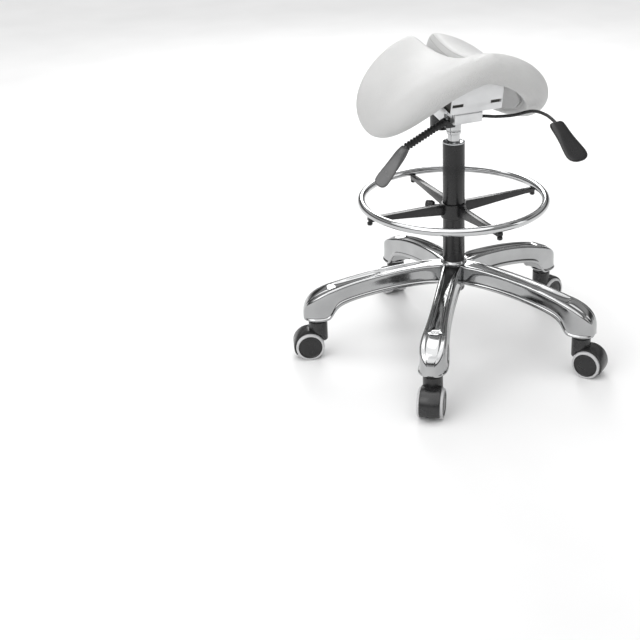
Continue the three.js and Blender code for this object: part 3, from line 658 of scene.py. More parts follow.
def makeColumn():
    r, wall = column["radius"], column["wall"]
    tube = lathe("column_tube_skin", [
        (6, 145), (r - 4, 145), (r - 1.2, 146.2), (r, 149), (r, column["top"] - 0.8),
        (r - 0.8, column["top"]),
        (r - wall + 0.4, column["top"]), (r - wall, column["top"] - 0.4), (r - wall, 149), (6, 149)], 96)
    finishPiece(soften(tube), "base", finish["blackSteel"], ["column_tube"])
    low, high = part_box("guide_bush")[0].z / mm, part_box("guide_bush")[1].z / mm
    bush = lathe("guide_bush_collar", [
        (14.4, low), (r - wall - fitGap, low), (r - wall - fitGap, high - 3), (r - 0.2, high - 3),
        (r - 0.1, high - 1.2),
        (r - 0.7, high - 0.4), (r - 1.6, high), (20.0, high), (19.2, high - 1.4), (16.0, high - 2.2),
        (14.4, high - 2.4)], 96)
    finishPiece(soften(bush, 0, 0, 0, 30), "base", finish["satinSteel"], ["guide_bush"])
    cylinder = lathe("gas_cylinder_skin", [
        (5.4, gas["bottom"]), (gas["radius"] - 1.4, gas["bottom"]), (gas["radius"], gas["bottom"] + 1.4),
        (gas["radius"], 513), (gas["radius"] - 0.9, 557.4), (gas["radius"] - 1.6, gas["top"]),
        (3.8, gas["top"]),
        (3.8, 540), (11, 540), (12, 513), (12, gas["bottom"] + 4), (5.4, gas["bottom"] + 4)], 96)
    finishPiece(soften(cylinder), "lift", finish["chrome"], ["gas_cylinder"])
    # the socket is turned with a step, and its lower lip is thicker
    socket = lathe("taper_socket_skin", [
        (14.4, 521.2), (15.6, 521.2), (16.3, 522), (16.3, 527), (15.4, 528.2), (15.2, 530), (16.0, 531),
        (16.9, 531.6),
        (17.0, 533), (17.0, 555.6), (14.4, 555.6)], 96)
    finishPiece(soften(socket, 0, 0, 0, 30), "lift", finish["chrome"], ["taper_socket"])
    rod = lathe("piston_rod_skin", [
        (0, 139.2), (3.6, 139.2), (4.8, 140.6), (4.8, 157), (8.8, 157), (8.8, 160), (4.8, 161), (4.8, 455.3),
        (11.4, 455.3), (11.4, 466.7), (0, 466.7)], 48)
    finishPiece(soften(rod), "rod", finish["chrome"], ["piston_rod"])
    clip = lathe("rod_clip_ring", [(5.2, 141.8), (9.4, 141.8), (9.9, 142.3), (9.9, 144.1), (9.4, 144.6),
                                   (5.2, 144.6)], 48)
    finishPiece(soften(clip), "rod", finish["satinSteel"], ["rod_clip"])
    bearing = lathe("thrust_bearing_ring",
                    [(5.4, 149.4), (11.8, 149.4), (11.8, 151.4), (10.6, 151.8), (10.6, 153.6),
                                            (11.8, 154), (11.8, 155.9), (5.4, 155.9)], 48)
    finishPiece(soften(bearing), "base", finish["satinSteel"], ["thrust_bearing"])
    pin = lathe("release_pin_button", [(0, 542.2), (3.3, 542.2), (3.3, 562.8), (2.4, 563.8), (0, 563.9)], 32)
    finishPiece(soften(pin), "valve", finish["satinSteel"], ["release_pin"])


makeColumn()
print("column done")


# foot ring
footRing = {
    "radius": 208.3,
    "tubeRadius": 9.0,
    "height": 368.0,
    "hubLow": 324.0,
    "hubTop": 358.5,
    "spokes": 4,
    "spokeWidth": 11.6,
}


def ringTree():
    tree, come, go = newTree("sweptRing", [("Ring radius", "Float"), ("Tube radius", "Float"), ("Height",
        "Float"),
                                           ("Steps", "Int"), ("Sides", "Int"), ("Material", "Material")])
    path = addNode(tree, "GeometryNodeCurvePrimitiveCircle", Resolution=come.outputs["Steps"],
                   Radius=come.outputs["Ring radius"])
    section = addNode(tree, "GeometryNodeCurvePrimitiveCircle", Resolution=come.outputs["Sides"],
                      Radius=come.outputs["Tube radius"])
    tube = addNode(tree, "GeometryNodeCurveToMesh", Curve=path.outputs[0], ProfileCurve=section.outputs[0])
    lift = addNode(tree, "ShaderNodeCombineXYZ", Z=come.outputs["Height"])
    up = addNode(tree, "GeometryNodeTransform", Geometry=tube.outputs[0], Translation=lift.outputs[0])
    endTree(tree, go, up.outputs[0], come.outputs["Material"])
    return tree


def makeFootRing():
    ring = footRing
    tube = growPiece("foot_ring_hoop", ringTree(), {
        "Ring radius": ring["radius"] * mm, "Tube radius": ring["tubeRadius"] * mm,
        "Height": ring["height"] * mm,
        "Steps": 180, "Sides": 32, "Material": finish["chrome"]})
    finishPiece(tube, "foot_ring", finish["chrome"], ["foot_ring_tube"])
    top, low = ring["hubTop"], ring["hubLow"]
    hub = lathe("spiderHub", [(25.5, low), (28.6, low), (29.5, low + 1), (29.5, top - 1.6), (28.4, top - 0.4),
                              (26.6, top), (25.5, top)], 72)
    tip = ring["radius"] + 4
    parts = [soften(hub, 0, 0, 0, 30)]
    width = ring["spokeWidth"] / 2
    for k in range(ring["spokes"]):
        turn = Matrix.Rotation(math.pi / 2 * k, 4, "Z")
        # a flat bar on edge, deep at the hub, with a flange along its top
        outline = [(27.2, top - 26), (60, top - 22.5), (120, top - 16.4), (tip - 26, top - 10.4),
                   (tip - 3, top - 10),
                   (tip, top - 7), (tip, top - 0.6), (27.2, top - 0.6)]
        parts.append(soften(extruded(f"spoke{k}", outline, -width, width, turn), 0.9, 3))
        edge = extruded(f"spokeRim{k}", [(27.2, top - 3.2), (tip - 1, top - 3.2), (tip - 1, top - 0.3),
                                         (27.2, top - 0.3)],
                        -width - 0.4, width + 0.4, turn)
        parts.append(soften(edge, 0.6, 2))
    spider = joined("ring_spider_casting", parts)
    finishPiece(spider, "foot_ring", finish["blackSteel"], ["ring_spider"])
    for k in range(ring["spokes"]):
        place = Matrix.Rotation(math.pi / 2 * k, 4, "Z") @ Matrix.Translation((ring["radius"], 0, 0))
        under = top - 10.3
        cap = lathe(f"ring_screw_cap_{k + 1}",
                    [(0, under - 7), (4.6, under - 7), (5.6, under - 6), (6, under - 4.4),
                                                (6, under - 1), (5.6, under), (2.4, under),
                                                (2.4, top - 1.2), (0, top - 1.2)],
                    40, place)
        finishPiece(soften(cap, 0, 0, 0, 30), "foot_ring", finish["blackPlastic"],
                    [f"ring_screw_{k + 1}"])


makeFootRing()


def makeClampKnob():
    # a moulded knob with five lobes on a plain stud
    axis = Vector(joints["ring_clamp"]["axis"])
    place = Matrix.Translation(Vector(joints["ring_clamp"]["pos_m"]) / mm) @ axis.to_track_quat("Z",
        "Y").to_matrix().to_4x4()
    stud = lathe("knobStud", [(0, 25.8), (2.9, 25.8), (2.9, 50), (0, 50)], 24, place)
    sides, lobes = 60, 5
    profile = [(6.5, 47.9), (8.2, 48.4), (9.6, 50.4), (10.9, 53.6), (11.3, 56), (11.3, 63), (10.4, 65.4),
               (8.4, 67),
               (6.0, 66.6), (3.0, 67.4)]
    rings = []
    for r, z in profile:
        deep = 0.07 * r if r > 8 else 0
        rings.append([place @ Vector(((r + deep * math.cos(lobes * t) - deep) * math.cos(t),
                                      (r + deep * math.cos(lobes * t) - deep) * math.sin(t), z))
                      for t in (2 * math.pi * k / sides for k in range(sides))])
    knob = joined("ring_clamp_grip", [loft("knobHead", rings), stud])
    finishPiece(soften(knob, 0, 0, 0, 40), "ring_knob", finish["blackPlastic"],
                ["ring_clamp_knob"])


makeClampKnob()
print("foot ring done")


# tilting mechanism; its frame sits on the column axis and leans with the rear up
tiltFrame = {"height": 566.0, "pitch": 11.0, "halfWidth": 34.0, "pivotY": -42.0, "pivotZ": 30.0,
             "springY": 56.0}
tilted = Matrix.Translation((0, 0, tiltFrame["height"])) @ Matrix.Rotation(rad(tiltFrame["pitch"]), 4, "X")
alongX = Matrix.Rotation(rad(90), 4, "Y")


def sideways(name, outline, low, high):
    # an outline in the YZ plane of the tilted frame, run across X
    count = len(outline)
    points = [tilted @ Vector((x, y, z)) for x in (low, high) for y, z in outline]
    faces = [(i, (i + 1) % count, count + (i + 1) % count, count + i) for i in range(count)]
    faces += [tuple(range(count)), tuple(range(count, 2 * count))]
    return makeMesh(name, points, faces)


def block(name, low, high, place=None):
    (x0, y0, z0), (x1, y1, z1) = low, high
    return extruded(name, [(x0, z0), (x1, z0), (x1, z1), (x0, z1)], y0, y1, place)


def makeMechanism():
    w, pivotY, pivotZ, springY = (tiltFrame[key] for key in ("halfWidth", "pivotY", "pivotZ", "springY"))
    outline = [(-66, 8), (-24, 2), (-24, -12), (80, -12), (84, -8), (84, 8), (30, 22), (pivotY + 14, 40),
               (pivotY - 11, 40), (pivotY - 16, 38), (-66, 30)]
    channel = sideways("mechanism_channel", outline, -w, w)
    hollow = block("hollow", (-w + 3, -63, -9), (w - 3, 81, 80), tilted)
    socketHole = lathe("socketHole", [(0, 500), (17.4, 500), (17.4, 575), (0, 575)], 64)
    pivotHole = lathe("pivotHole", [(0, -60), (5.3, -60), (5.3, 60), (0, 60)], 32,
                      tilted @ Matrix.Translation((0, pivotY, pivotZ)) @ alongX)
    boltHole = lathe("boltHole", [(0, -30), (4.6, -30), (4.6, 10), (0, 10)], 32,
                     tilted @ Matrix.Translation((0, springY, 0)))
    window = block("window", (-60, -46, 518), (-w + 8, -20, 576))
    floorCut = block("floorCut", (-60, -46, 518), (12, -20, 556))
    shaftHole = lathe("shaftHole", [(0, 0), (5, 0), (5, 90), (0, 90)], 32,
                      Matrix.Translation((0, -58, 570)) @ alongX)
    cutWith(channel, [hollow, socketHole, pivotHole, boltHole, window, floorCut, shaftHole])
    finishPiece(soften(channel, 0.5, 2, 0, 35), "lift", finish["pan"], ["mechanism_body"])
    pin = lathe("tilt_pin_bar", [(0, -44), (4.2, -44), (5, -43.2), (5, 43.2), (4.2, 44), (0, 44)], 40,
                tilted @ Matrix.Translation((0, pivotY, pivotZ)) @ alongX)
    finishPiece(soften(pin), "lift", finish["satinSteel"], ["tilt_pin"])
    atSpring = tilted @ Matrix.Translation((0, springY, 0))
    bolt = lathe("tension_bolt_turned", [(0, -50), (3.4, -50), (4, -49), (4, 26.6), (14.4, 26.6), (15,
        27.2), (15, 29),
                                         (14.4, 29.4), (7, 29.4), (7, 33), (6.4, 33.4), (0, 33.4)], 6 * 8,
                                         atSpring)
    finishPiece(soften(bolt, 0, 0, 0, 30), "lift", finish["satinSteel"], ["tension_bolt"])
    knob = lathe("tension_knob_cap", [
        (4.4, -54), (19.4, -54), (20.6, -55), (21.4, -57.4), (22.2, -58), (23, -57.2), (23.5, -55),
        (26.5, -17),
        (26.3, -15), (25.2, -13.6), (24, -13.1), (4.4, -13.1)], 96, atSpring)
    finishPiece(soften(knob, 0, 0, 0, 30), "tension_knob", finish["blackPlastic"],
                ["tension_knob"])


def coilTree():
    tree, come, go = newTree("coil", [("Radius", "Float"), ("Wire", "Float"), ("Turns", "Float"), ("Height",
        "Float"),
                                      ("Place", "Vector"), ("Turn", "Vector"), ("Material", "Material")])
    helix = addNode(tree, "GeometryNodeCurveSpiral", Resolution=28, Rotations=come.outputs["Turns"],
                    StartRadius=come.outputs["Radius"], EndRadius=come.outputs["Radius"],
                    Height=come.outputs["Height"])
    section = addNode(tree, "GeometryNodeCurvePrimitiveCircle", Resolution=12, Radius=come.outputs["Wire"])
    wire = addNode(tree, "GeometryNodeCurveToMesh", Curve=helix.outputs[0], ProfileCurve=section.outputs[0],
                   FillCaps=True)
    put = addNode(tree, "GeometryNodeTransform", Geometry=wire.outputs[0], Translation=come.outputs["Place"],
                  Rotation=come.outputs["Turn"])
    endTree(tree, go, put.outputs[0], come.outputs["Material"])
    return tree


makeMechanism()
springFoot = tilted @ Vector((0, tiltFrame["springY"], -6.5))
spring = growPiece("tension_spring_coil", coilTree(), {
    "Radius": 12 * mm, "Wire": 1.9 * mm, "Turns": 4.0, "Height": 30 * mm, "Place": springFoot * mm,
    "Turn": Euler((rad(tiltFrame["pitch"]), 0, 0)), "Material": finish["satinSteel"]})
finishPiece(spring, "lift", finish["satinSteel"], ["tension_spring"])
print("mechanism done")


# levers
heightLever = {
    "pivot": Vector((-30, -33, 558)),
    "bootStart": Vector((-44, -35, 561)),
    "bootEnd": Vector((-139, -44, 522)),
    "paddleTip": Vector((-207, -46, 446)),
    "paddleWidth": (-0.49, 0.76, 0.42),
    "ribs": 13,
    # share of the length, half width, thickness
    "paddle": [(0, 8.6, 15), (0.04, 9.6, 17.4), (0.1, 11, 18), (0.2, 13.2, 14.6), (0.34, 13.8, 10.4),
               (0.5, 14.2, 8.4),
               (0.7, 15.8, 7.4), (0.86, 16.5, 7), (0.94, 14.6, 6.4), (0.985, 10, 5.2), (1.0, 5, 3.4)],
}
tiltLever = {
    "path": [(14, -58, 570), (30, -58, 570), (44, -60, 570), (66, -72, 569), (95, -96, 574), (124, -126, 587),
             (141, -151, 584), (150, -172, 574), (152.5, -186, 564.5)],
    "wire": 3.5,
    "paddleStart": Vector((151.5, -177, 571)),
    "paddleTip": Vector((163, -262, 508)),
    "paddle": [(0, 14.6, 7), (0.02, 16.2, 10), (0.06, 18.5, 12), (0.14, 19, 12), (0.3, 19.5, 11),
               (0.45, 21, 9.6),
               (0.62, 24.4, 8.2), (0.78, 27.3, 7.6), (0.88, 26.6, 7.2), (0.95, 21.5, 6.4), (0.99, 13, 4.8),
               (1.0, 8, 3)],
}


def paddle(name, start, tip, side, stations, dish, sides=32):
    # a flattened handle with soft corners and a shallow thumb hollow on its upper face
    along = tip - start
    across = (Vector(side) - along.normalized() * Vector(side).dot(along.normalized())).normalized()
    up = along.normalized().cross(across)
    if up.z < 0:
        up = -up
    rings = []
    for share, half, thick in stations:
        ring = []
        for k in range(sides):
            t = 2 * math.pi * k / sides
            u = math.copysign(abs(math.cos(t)) ** 0.75, math.cos(t))
            v = math.copysign(abs(math.sin(t)) ** 0.75, math.sin(t))
            sink = dish * math.sin(math.pi * min(max((share - 0.25) / 0.75, 0),
                                                 1)) * (1 - u * u) if v > 0 else 0
            ring.append(start + along * share + across * half * u + up * (thick / 2 * v - sink))
        rings.append(ring)
    return soften(loft(name, rings), 0, 0, 1, 40)


def bellowsTree():
    # ribs are flat rings set along a line, on a plain sleeve
    tree, come, go = newTree("bellows", [("Ribs", "Int"), ("Length", "Float"), ("Rib radius", "Float"),
                                         ("Sleeve radius", "Float"), ("Place", "Vector"), ("Turn", "Vector"),
                                         ("Material", "Material")])
    end = addNode(tree, "ShaderNodeCombineXYZ", Z=come.outputs["Length"])
    line = addNode(tree, "GeometryNodeCurvePrimitiveLine", End=end.outputs[0])
    spots = addNode(tree, "GeometryNodeCurveToPoints", {"mode": "COUNT"}, Curve=line.outputs[0],
                    Count=come.outputs["Ribs"])
    hoop = addNode(tree, "GeometryNodeCurvePrimitiveCircle", Resolution=36,
                   Radius=come.outputs["Sleeve radius"])
    depth = addNode(tree, "ShaderNodeMath", {"operation": "SUBTRACT"})
    tree.links.new(come.outputs["Rib radius"], depth.inputs[0])
    tree.links.new(come.outputs["Sleeve radius"], depth.inputs[1])
    section = addNode(tree, "GeometryNodeCurvePrimitiveCircle", Resolution=12, Radius=depth.outputs[0])
    rib = addNode(tree, "GeometryNodeCurveToMesh", Curve=hoop.outputs[0], ProfileCurve=section.outputs[0])
    ribs = addNode(tree, "GeometryNodeInstanceOnPoints", Points=spots.outputs[0], Instance=rib.outputs[0])
    round_ = addNode(tree, "GeometryNodeCurvePrimitiveCircle", Resolution=36,
                     Radius=come.outputs["Sleeve radius"])
    sleeve = addNode(tree, "GeometryNodeCurveToMesh", Curve=line.outputs[0], ProfileCurve=round_.outputs[0],
                     FillCaps=True)
    both = tree.nodes.new("GeometryNodeJoinGeometry")
    tree.links.new(ribs.outputs[0], both.inputs[0])
    tree.links.new(sleeve.outputs[0], both.inputs[0])
    put = addNode(tree, "GeometryNodeTransform", Geometry=both.outputs[0], Translation=come.outputs["Place"],
                  Rotation=come.outputs["Turn"])
    endTree(tree, go, put.outputs[0], come.outputs["Material"])
    return tree


def makeHeightLever():
    lever = heightLever
    pivot, start, end = lever["pivot"], lever["bootStart"], lever["bootEnd"]
    along = end - start
    aim = along.to_track_quat("Z", "Y")
    place = Matrix.Translation(start) @ aim.to_matrix().to_4x4()
    body = block("leverBody", pivot + Vector((-11, -11, -9)), pivot + Vector((11, 11, 9)))
    nose = block("leverNose", (pivot.x, pivot.y - 6, pivot.z + 1.5), (-8, pivot.y + 6, pivot.z + 8))
    finger = block("leverFinger", (-9, pivot.y - 6, pivot.z + 6.8), (5, 6, pivot.z + 11))
    socket = lathe("leverSocket", [(4.5, -6), (8.2, -6), (9, -5), (9, 3), (8.2, 4), (4.5, 4)], 48, place)
    hub = joined("height_lever_block", [soften(body, 1.2, 3), soften(nose, 0.8, 2), soften(finger, 0.8, 2),
                                        soften(socket)])
    finishPiece(hub, "height_lever", finish["blackPlastic"], ["height_lever_hub"])
    rod = lathe("height_lever_bar", [(0, -12), (3.8, -12), (3.8, along.length + 13), (0,
        along.length + 13)], 32, place)
    finishPiece(soften(rod), "height_lever", finish["satinSteel"], ["height_lever_rod"])
    first = place @ Vector((0, 0, 6.6))
    boot = growPiece("height_lever_bellows", bellowsTree(), {
        "Ribs": lever["ribs"], "Length": (along.length - 9.4) * mm, "Rib radius": 8.9 * mm,
        "Sleeve radius": 6.5 * mm,
        "Place": first * mm, "Turn": aim.to_euler(), "Material": finish["rubber"]})
    finishPiece(boot, "height_lever", finish["rubber"], ["height_lever_boot"])
    grip = paddle("height_lever_grip", end, lever["paddleTip"], lever["paddleWidth"], lever["paddle"], 1.6)
    finishPiece(grip, "height_lever", finish["greyPlastic"], ["height_lever_paddle"])


def makeTiltLever():
    lever = tiltLever
    path = smoothPath(lever["path"], 8)
    rings = sweptRings(path, lambda share: roundSection(lever["wire"], 24), (0, 0, 1))
    rod = soften(loft("tilt_lever_wire", rings), 0, 0, 0, 40)
    finishPiece(rod, "tilt_lever", finish["blackSteel"], ["tilt_lever_rod"])
    grip = paddle("tilt_lever_grip", lever["paddleStart"], lever["paddleTip"], (1, 0, 0), lever["paddle"],
                  1.4)
    finishPiece(grip, "tilt_lever", finish["blackPlastic"], ["tilt_lever_paddle"])


makeHeightLever()
makeTiltLever()
print("levers done")


# seat
saddle = {
    "centreZ": 670.0,
    "centreY": 14.5,
    "halfSpan": 236.0,
    "frontReach": 190.0,
    "rearReach": 162.5,
    "bendSpan": 215.0,
    "bend": (1.15, 0.135, -0.22),  # of the sheet, at the middle and by the reach along it
    "frontRise": (31.0, 0.87),  # rise of an end, and how much of it is lost at the sides
    "rearRise": (27.0, 0.21),
    "flare": 0.13,  # the rear is broader than the front
    "roundness": 2.9,  # power of the outline's oval
    "padAbove": 30.0,
    "padBelow": 18.0,
    "cleftTip": -85.0,  # along the seat, where the slot's closed end is
    "cleftFront": 3.6,  # half width of the slot at its tip and at the rear
    "cleftRear": 12.5,
    "stepsRound": 180,
    "stepsAcross": 30,
}
# front, side and rear values of the rim: how far its widest line drops, how deep it hangs, and where
# its inner wall stands as a share of the way out
rimFall = (12.0, 2.0, 35.0)
rimDepth = (40.0, 24.0, 78.0)
rimWall = (0.73, 0.87, 0.70)
# the band of rows round the slot: degrees where it starts and how far it goes, the share of it at the
# slot's tip, the middle of a lobe, and how its inner rear corner is drawn in
band = {"start": 87, "sweep": 354, "tipShare": 0.12, "crowding": 1.15, "lobe": (90, 60), "tries": 40,
        "pull": 0.012}
lips = {"outerTop": 52.0, "slotTop": 14.0, "outerLow": 30.0, "slotLow": 12.0, "slotFall": 6.0}


def smooth(t):
    t = min(max(t, 0.0), 1.0)
    return t * t * (3 - 2 * t)


def turnedBy(values, s):
    # a value that goes from the side's to the front's or the rear's; s is the sine of the direction
    front, side, rear = values
    return side + (front - side) * smooth((-s - 0.05) / 0.75) + (rear - side) * smooth((s - 0.05) / 0.6)


def saddlePoint(across, along, lift):
    reach = along / 150
    middle, slope, curve = saddle["bend"]
    radius = saddle["bendSpan"] / (middle + slope * reach + curve * reach * reach)
    angle = across / radius
    outward = min(abs(across) / saddle["bendSpan"], 1.2)
    most, lost = saddle["frontRise"] if along < 0 else saddle["rearRise"]
    rise = most * (1 - lost * outward)
    curl = rise * reach * reach
    height = lift + 0.66 * curl
    return Vector(((radius + height) * math.sin(angle), saddle["centreY"] + along,
                   saddle["centreZ"] - radius * (1 - math.cos(angle)) + height * math.cos(angle) + 0.34 * curl))


def saddleEdge(angle):
    c, s = math.cos(angle), math.sin(angle)
    half = saddle["halfSpan"] * (1 + saddle["flare"] * s)
    reach = saddle["frontReach"] if s < 0 else saddle["rearReach"]
    power = saddle["roundness"]
    oval = (abs(c / half) ** power + abs(s / reach) ** power) ** (-1 / power)
    return oval * (1 - 0.08 * s ** 3 * c * c + 0.03 * math.cos(4 * angle))


def cleftHalf(along):
    # half width of the slot at a place along the seat
    share = (along - saddle["cleftTip"]) / (saddle["rearReach"] - saddle["cleftTip"])
    if share <= 0:
        return 0.0
    return saddle["cleftFront"] * min(1,
                                      share / 0.04) ** 0.5 + (saddle["cleftRear"] - saddle["cleftFront"]) * share


def treeOf(points):
    tree = KDTree(len(points))
    for k, spot in enumerate(points):
        tree.insert((spot[0], spot[1], 0), k)
    tree.balance()
    return tree


def edgeSpot(angle):
    return math.cos(angle) * saddleEdge(angle), math.sin(angle) * saddleEdge(angle)


slotLength = saddle["rearReach"] + 10 - saddle["cleftTip"]
outlineSpots = [edgeSpot(rad(k / 4)) for k in range(1440)]
slotAlong = [saddle["cleftTip"] + slotLength * k / 300 for k in range(301)]
outlineTree = treeOf(outlineSpots)
slotTree = treeOf([(cleftHalf(along), along) for along in slotAlong])


def padLift(spot, upper):
    # lift of the skin over a place of the flattened seat, and whether the place is inside its soft edge
    fromEdge = outlineTree.find((spot.x, spot.y, 0))[2]
    fromSlot = slotTree.find((abs(spot.x), spot.y, 0))[2]
    s = spot.y / max(spot.length, 1e-6)
    edgeFall = turnedBy(rimFall, s)
    slotFall = lips["slotFall"] + (rimFall[2] - lips["slotFall"]) * smooth((spot.y - 80) / 85)
    nearEdge, nearSlot = 1 / (fromEdge + 2), 1 / (fromSlot + 2)
    fall = (edgeFall * nearEdge + slotFall * nearSlot) / (nearEdge + nearSlot)
    outer, slot = (lips["outerTop"], lips["slotTop"]) if upper else (lips["outerLow"], lips["slotLow"])
    t = 1 - math.hypot(max(1 - fromEdge / outer, 0), max(1 - fromSlot / slot, 0))
    inside = min(max(t, 0.0), 1.0)
    q = math.sqrt(max(1 - (1 - inside) ** 2, 0.0))
    if upper:
        return -fall * (1 - q) + saddle["padAbove"] * q, t
    wall = (1 - turnedBy(rimWall, s)) * saddleEdge(math.atan2(spot.y, spot.x))
    depth = saddle["padBelow"] + (turnedBy(rimDepth, s) - saddle["padBelow"]) * smooth(
        (wall - fromEdge) / (0.35 * wall))
    return -fall * (1 - q) - depth * q, t


def bandPoint(turn, w):
    # the flattened seat as a band round the slot: turn 0 to 1 from the left lobe's rear, round the
    # front, to the right lobe's rear; w 0 at the slot and 1 at the outer edge
    angle = rad(band["start"]) - turn * rad(band["sweep"])
    outer = Vector((math.cos(angle), math.sin(angle))) * saddleEdge(angle)
    side = 1 if turn < 0.5 else -1
    stretch = abs(2 * turn - 1)  # 1 at the rear, 0 at the very front
    beyond = max(0, (stretch - band["tipShare"]) / (1 - band["tipShare"]))
    slotReach = saddle["rearReach"] - 4 - saddle["cleftTip"]
    along = saddle["cleftTip"] + slotReach * beyond ** band["crowding"]
    inner = Vector((side * cleftHalf(along), along))
    if stretch <= band["tipShare"]:
        inner = Vector((side * 0.02, saddle["cleftTip"]))
    spot = inner.lerp(outer, w)
    lobe = Vector((side * band["lobe"][0], band["lobe"][1]))
    for _ in range(band["tries"]):  # the lobe's inner rear corner is drawn in until it is round
        if spot.y < band["lobe"][1] or padLift(spot, True)[1] >= -0.001:
            break
        spot = spot.lerp(lobe, band["pull"])
    return spot


def makeCushion():
    steps, across = saddle["stepsRound"], saddle["stepsAcross"]
    # rows crowd together at both edges, where the padding turns under
    shares = [0.5 - 0.5 * math.cos(math.pi * k / across) for k in range(across + 1)]
    rings = []
    for k in range(steps + 1):
        spots = [bandPoint(k / steps, w) for w in shares]
        top = [saddlePoint(spot.x, spot.y, padLift(spot, True)[0]) for spot in spots]
        bottom = [saddlePoint(spot.x, spot.y, padLift(spot, False)[0]) for spot in reversed(spots[1:-1])]
        rings.append(top + bottom)
    pad = loft("seat_pad", rings, weld=0.3)
    remesh = pad.modifiers.new("even", "REMESH")
    remesh.mode, remesh.voxel_size, remesh.use_smooth_shade = "VOXEL", 4 * mm, True
    settle(pad)
    relax = pad.modifiers.new("relax", "SMOOTH")
    relax.factor, relax.iterations = 0.5, 6
    settle(pad)
    return soften(pad, 0, 0, 1, 180)


shellShape = {"inset": 0.97, "top": 19.2, "low": 29.0, "directions": 160}


def underPoint(k, share, lift):
    angle = 2 * math.pi * k / shellShape["directions"]
    reach = share * shellShape["inset"] * turnedBy(rimWall, math.sin(angle)) * saddleEdge(angle)
    return saddlePoint(reach * math.cos(angle), reach * math.sin(angle), -lift)


def makeShell():
    # the covered underside, split by the cleft at the rear
    shares = [0.02, 0.2, 0.4, 0.6, 0.75, 0.87, 0.94, 0.98]
    top, low = shellShape["top"], shellShape["low"]

    def row(share, lift):
        return [underPoint(k, share, lift) for k in range(shellShape["directions"])]

    bottom = [row(share, low) for share in shares]
    rim = [row(0.995, low - 0.8), row(1.0, low - 2.6), row(1.0, top + 2)]
    upper = [row(share, top) for share in reversed(shares)]
    shell = loft("seat_underside", bottom + rim + upper)
    tool = extruded("cleftCut", [(x, z) for x, z in arcPoints((0, 74), 14, 180, 360, 24)] + [(26, 240),
        (-26, 240)],
                    -300, 0, Matrix(((1, 0, 0, 0), (0, 0, 1, 0), (0, -1, 0, 520), (0, 0, 0, 1))))
    cutWith(shell, [tool])
    return soften(shell, 0.8, 2, 0, 40)


def pipingTree():
    # a round welt along the path that the tree is run on
    tree, come, go = newTree("piping", [("Radius", "Float"), ("Material", "Material")])
    path = addNode(tree, "GeometryNodeMeshToCurve", Mesh=come.outputs["Geometry"])
    even = addNode(tree, "GeometryNodeResampleCurve", Curve=path.outputs[0], Count=260)
    section = addNode(tree, "GeometryNodeCurvePrimitiveCircle", Resolution=10, Radius=come.outputs["Radius"])
    welt = addNode(tree, "GeometryNodeCurveToMesh", Curve=even.outputs[0], ProfileCurve=section.outputs[0],
                   FillCaps=True)
    endTree(tree, go, welt.outputs[0], come.outputs["Material"])
    return tree


def stitchTree():
    # short threads in a row along the path
    tree, come, go = newTree("stitches", [("Count", "Int"), ("Length", "Float"), ("Thread", "Float"),
                                          ("Material", "Material")])
    path = addNode(tree, "GeometryNodeMeshToCurve", Mesh=come.outputs["Geometry"])
    spots = addNode(tree, "GeometryNodeCurveToPoints", {"mode": "COUNT"}, Curve=path.outputs[0],
                    Count=come.outputs["Count"])
    thread = addNode(tree, "GeometryNodeMeshCylinder", Vertices=8, Radius=come.outputs["Thread"],
                     Depth=come.outputs["Length"])
    row = addNode(tree, "GeometryNodeInstanceOnPoints", Points=spots.outputs[0], Instance=thread.outputs[0],
                  Rotation=spots.outputs["Rotation"])
    endTree(tree, go, row.outputs[0], come.outputs["Material"])
    return tree


def pathOnto(name, piece, points, closed=False):
    # a line of points laid on a piece's skin
    spots = [piece.closest_point_on_mesh(point * mm)[1] for point in points]
    line = bpy.data.meshes.new(name)
    edges = [(k, k + 1) for k in range(len(spots) - 1)]
    line.from_pydata(spots, edges + ([(len(spots) - 1, 0)] if closed else []), [])
    return line


cushion = makeCushion()
finishPiece(cushion, "seat", finish["leather"], ["seat_cushion"])
# the underside's darker grey is painted shade
finishPiece(makeShell(), "seat", finish["underside"], ["seat_shell"])

trim = {
    "welt": 1.5,  # radius of the piping in the rim's inner wall
    "seam": 0.55,  # radius of the seam lines in the slot's walls
    "stitches": 62,
    "stitchLength": 2.6,
    "thread": 0.45,
}


def makeTrim():
    # piping where the rim meets the underside, open at the rear, and a stitched seam in each slot wall
    def wallPoint(k):
        angle = rad(110 + 3.2 * k)
        reach = turnedBy(rimWall, math.sin(angle)) * saddleEdge(angle) * 0.985
        return saddlePoint(reach * math.cos(angle), reach * math.sin(angle), -19)

    welts, seams = pipingTree(), stitchTree()
    path = pathOnto("rimPath", cushion, [wallPoint(k) for k in range(101)])
    welt = growPiece("rim_piping", welts, {"Radius": trim["welt"] * mm, "Material": finish["leather"]}, path)
    finishPiece(welt, "seat", finish["leather"])
    for side, label in ((1, "left"), (-1, "right")):
        points = [saddlePoint(side * (cleftHalf(y) + 1.5), y, 12) for y in range(-60, 148, 4)]
        line = growPiece(f"slot_seam_{label}", welts,
                         {"Radius": trim["seam"] * mm, "Material": finish["seam"]},
                         pathOnto("seamPath", cushion, points))
        finishPiece(line, "seat", finish["seam"])
        beside = [saddlePoint(side * (cleftHalf(y) + 7), y, 24) for y in range(-60, 148, 4)]
        row = growPiece(f"slot_stitches_{label}", seams, {
            "Count": trim["stitches"], "Length": trim["stitchLength"] * mm, "Thread": trim["thread"] * mm,
            "Material": finish["seam"]}, pathOnto("stitchPath", cushion, beside))
        finishPiece(row, "seat", finish["seam"])


makeTrim()
print("seat pad done:", len(cushion.data.polygons), "faces")


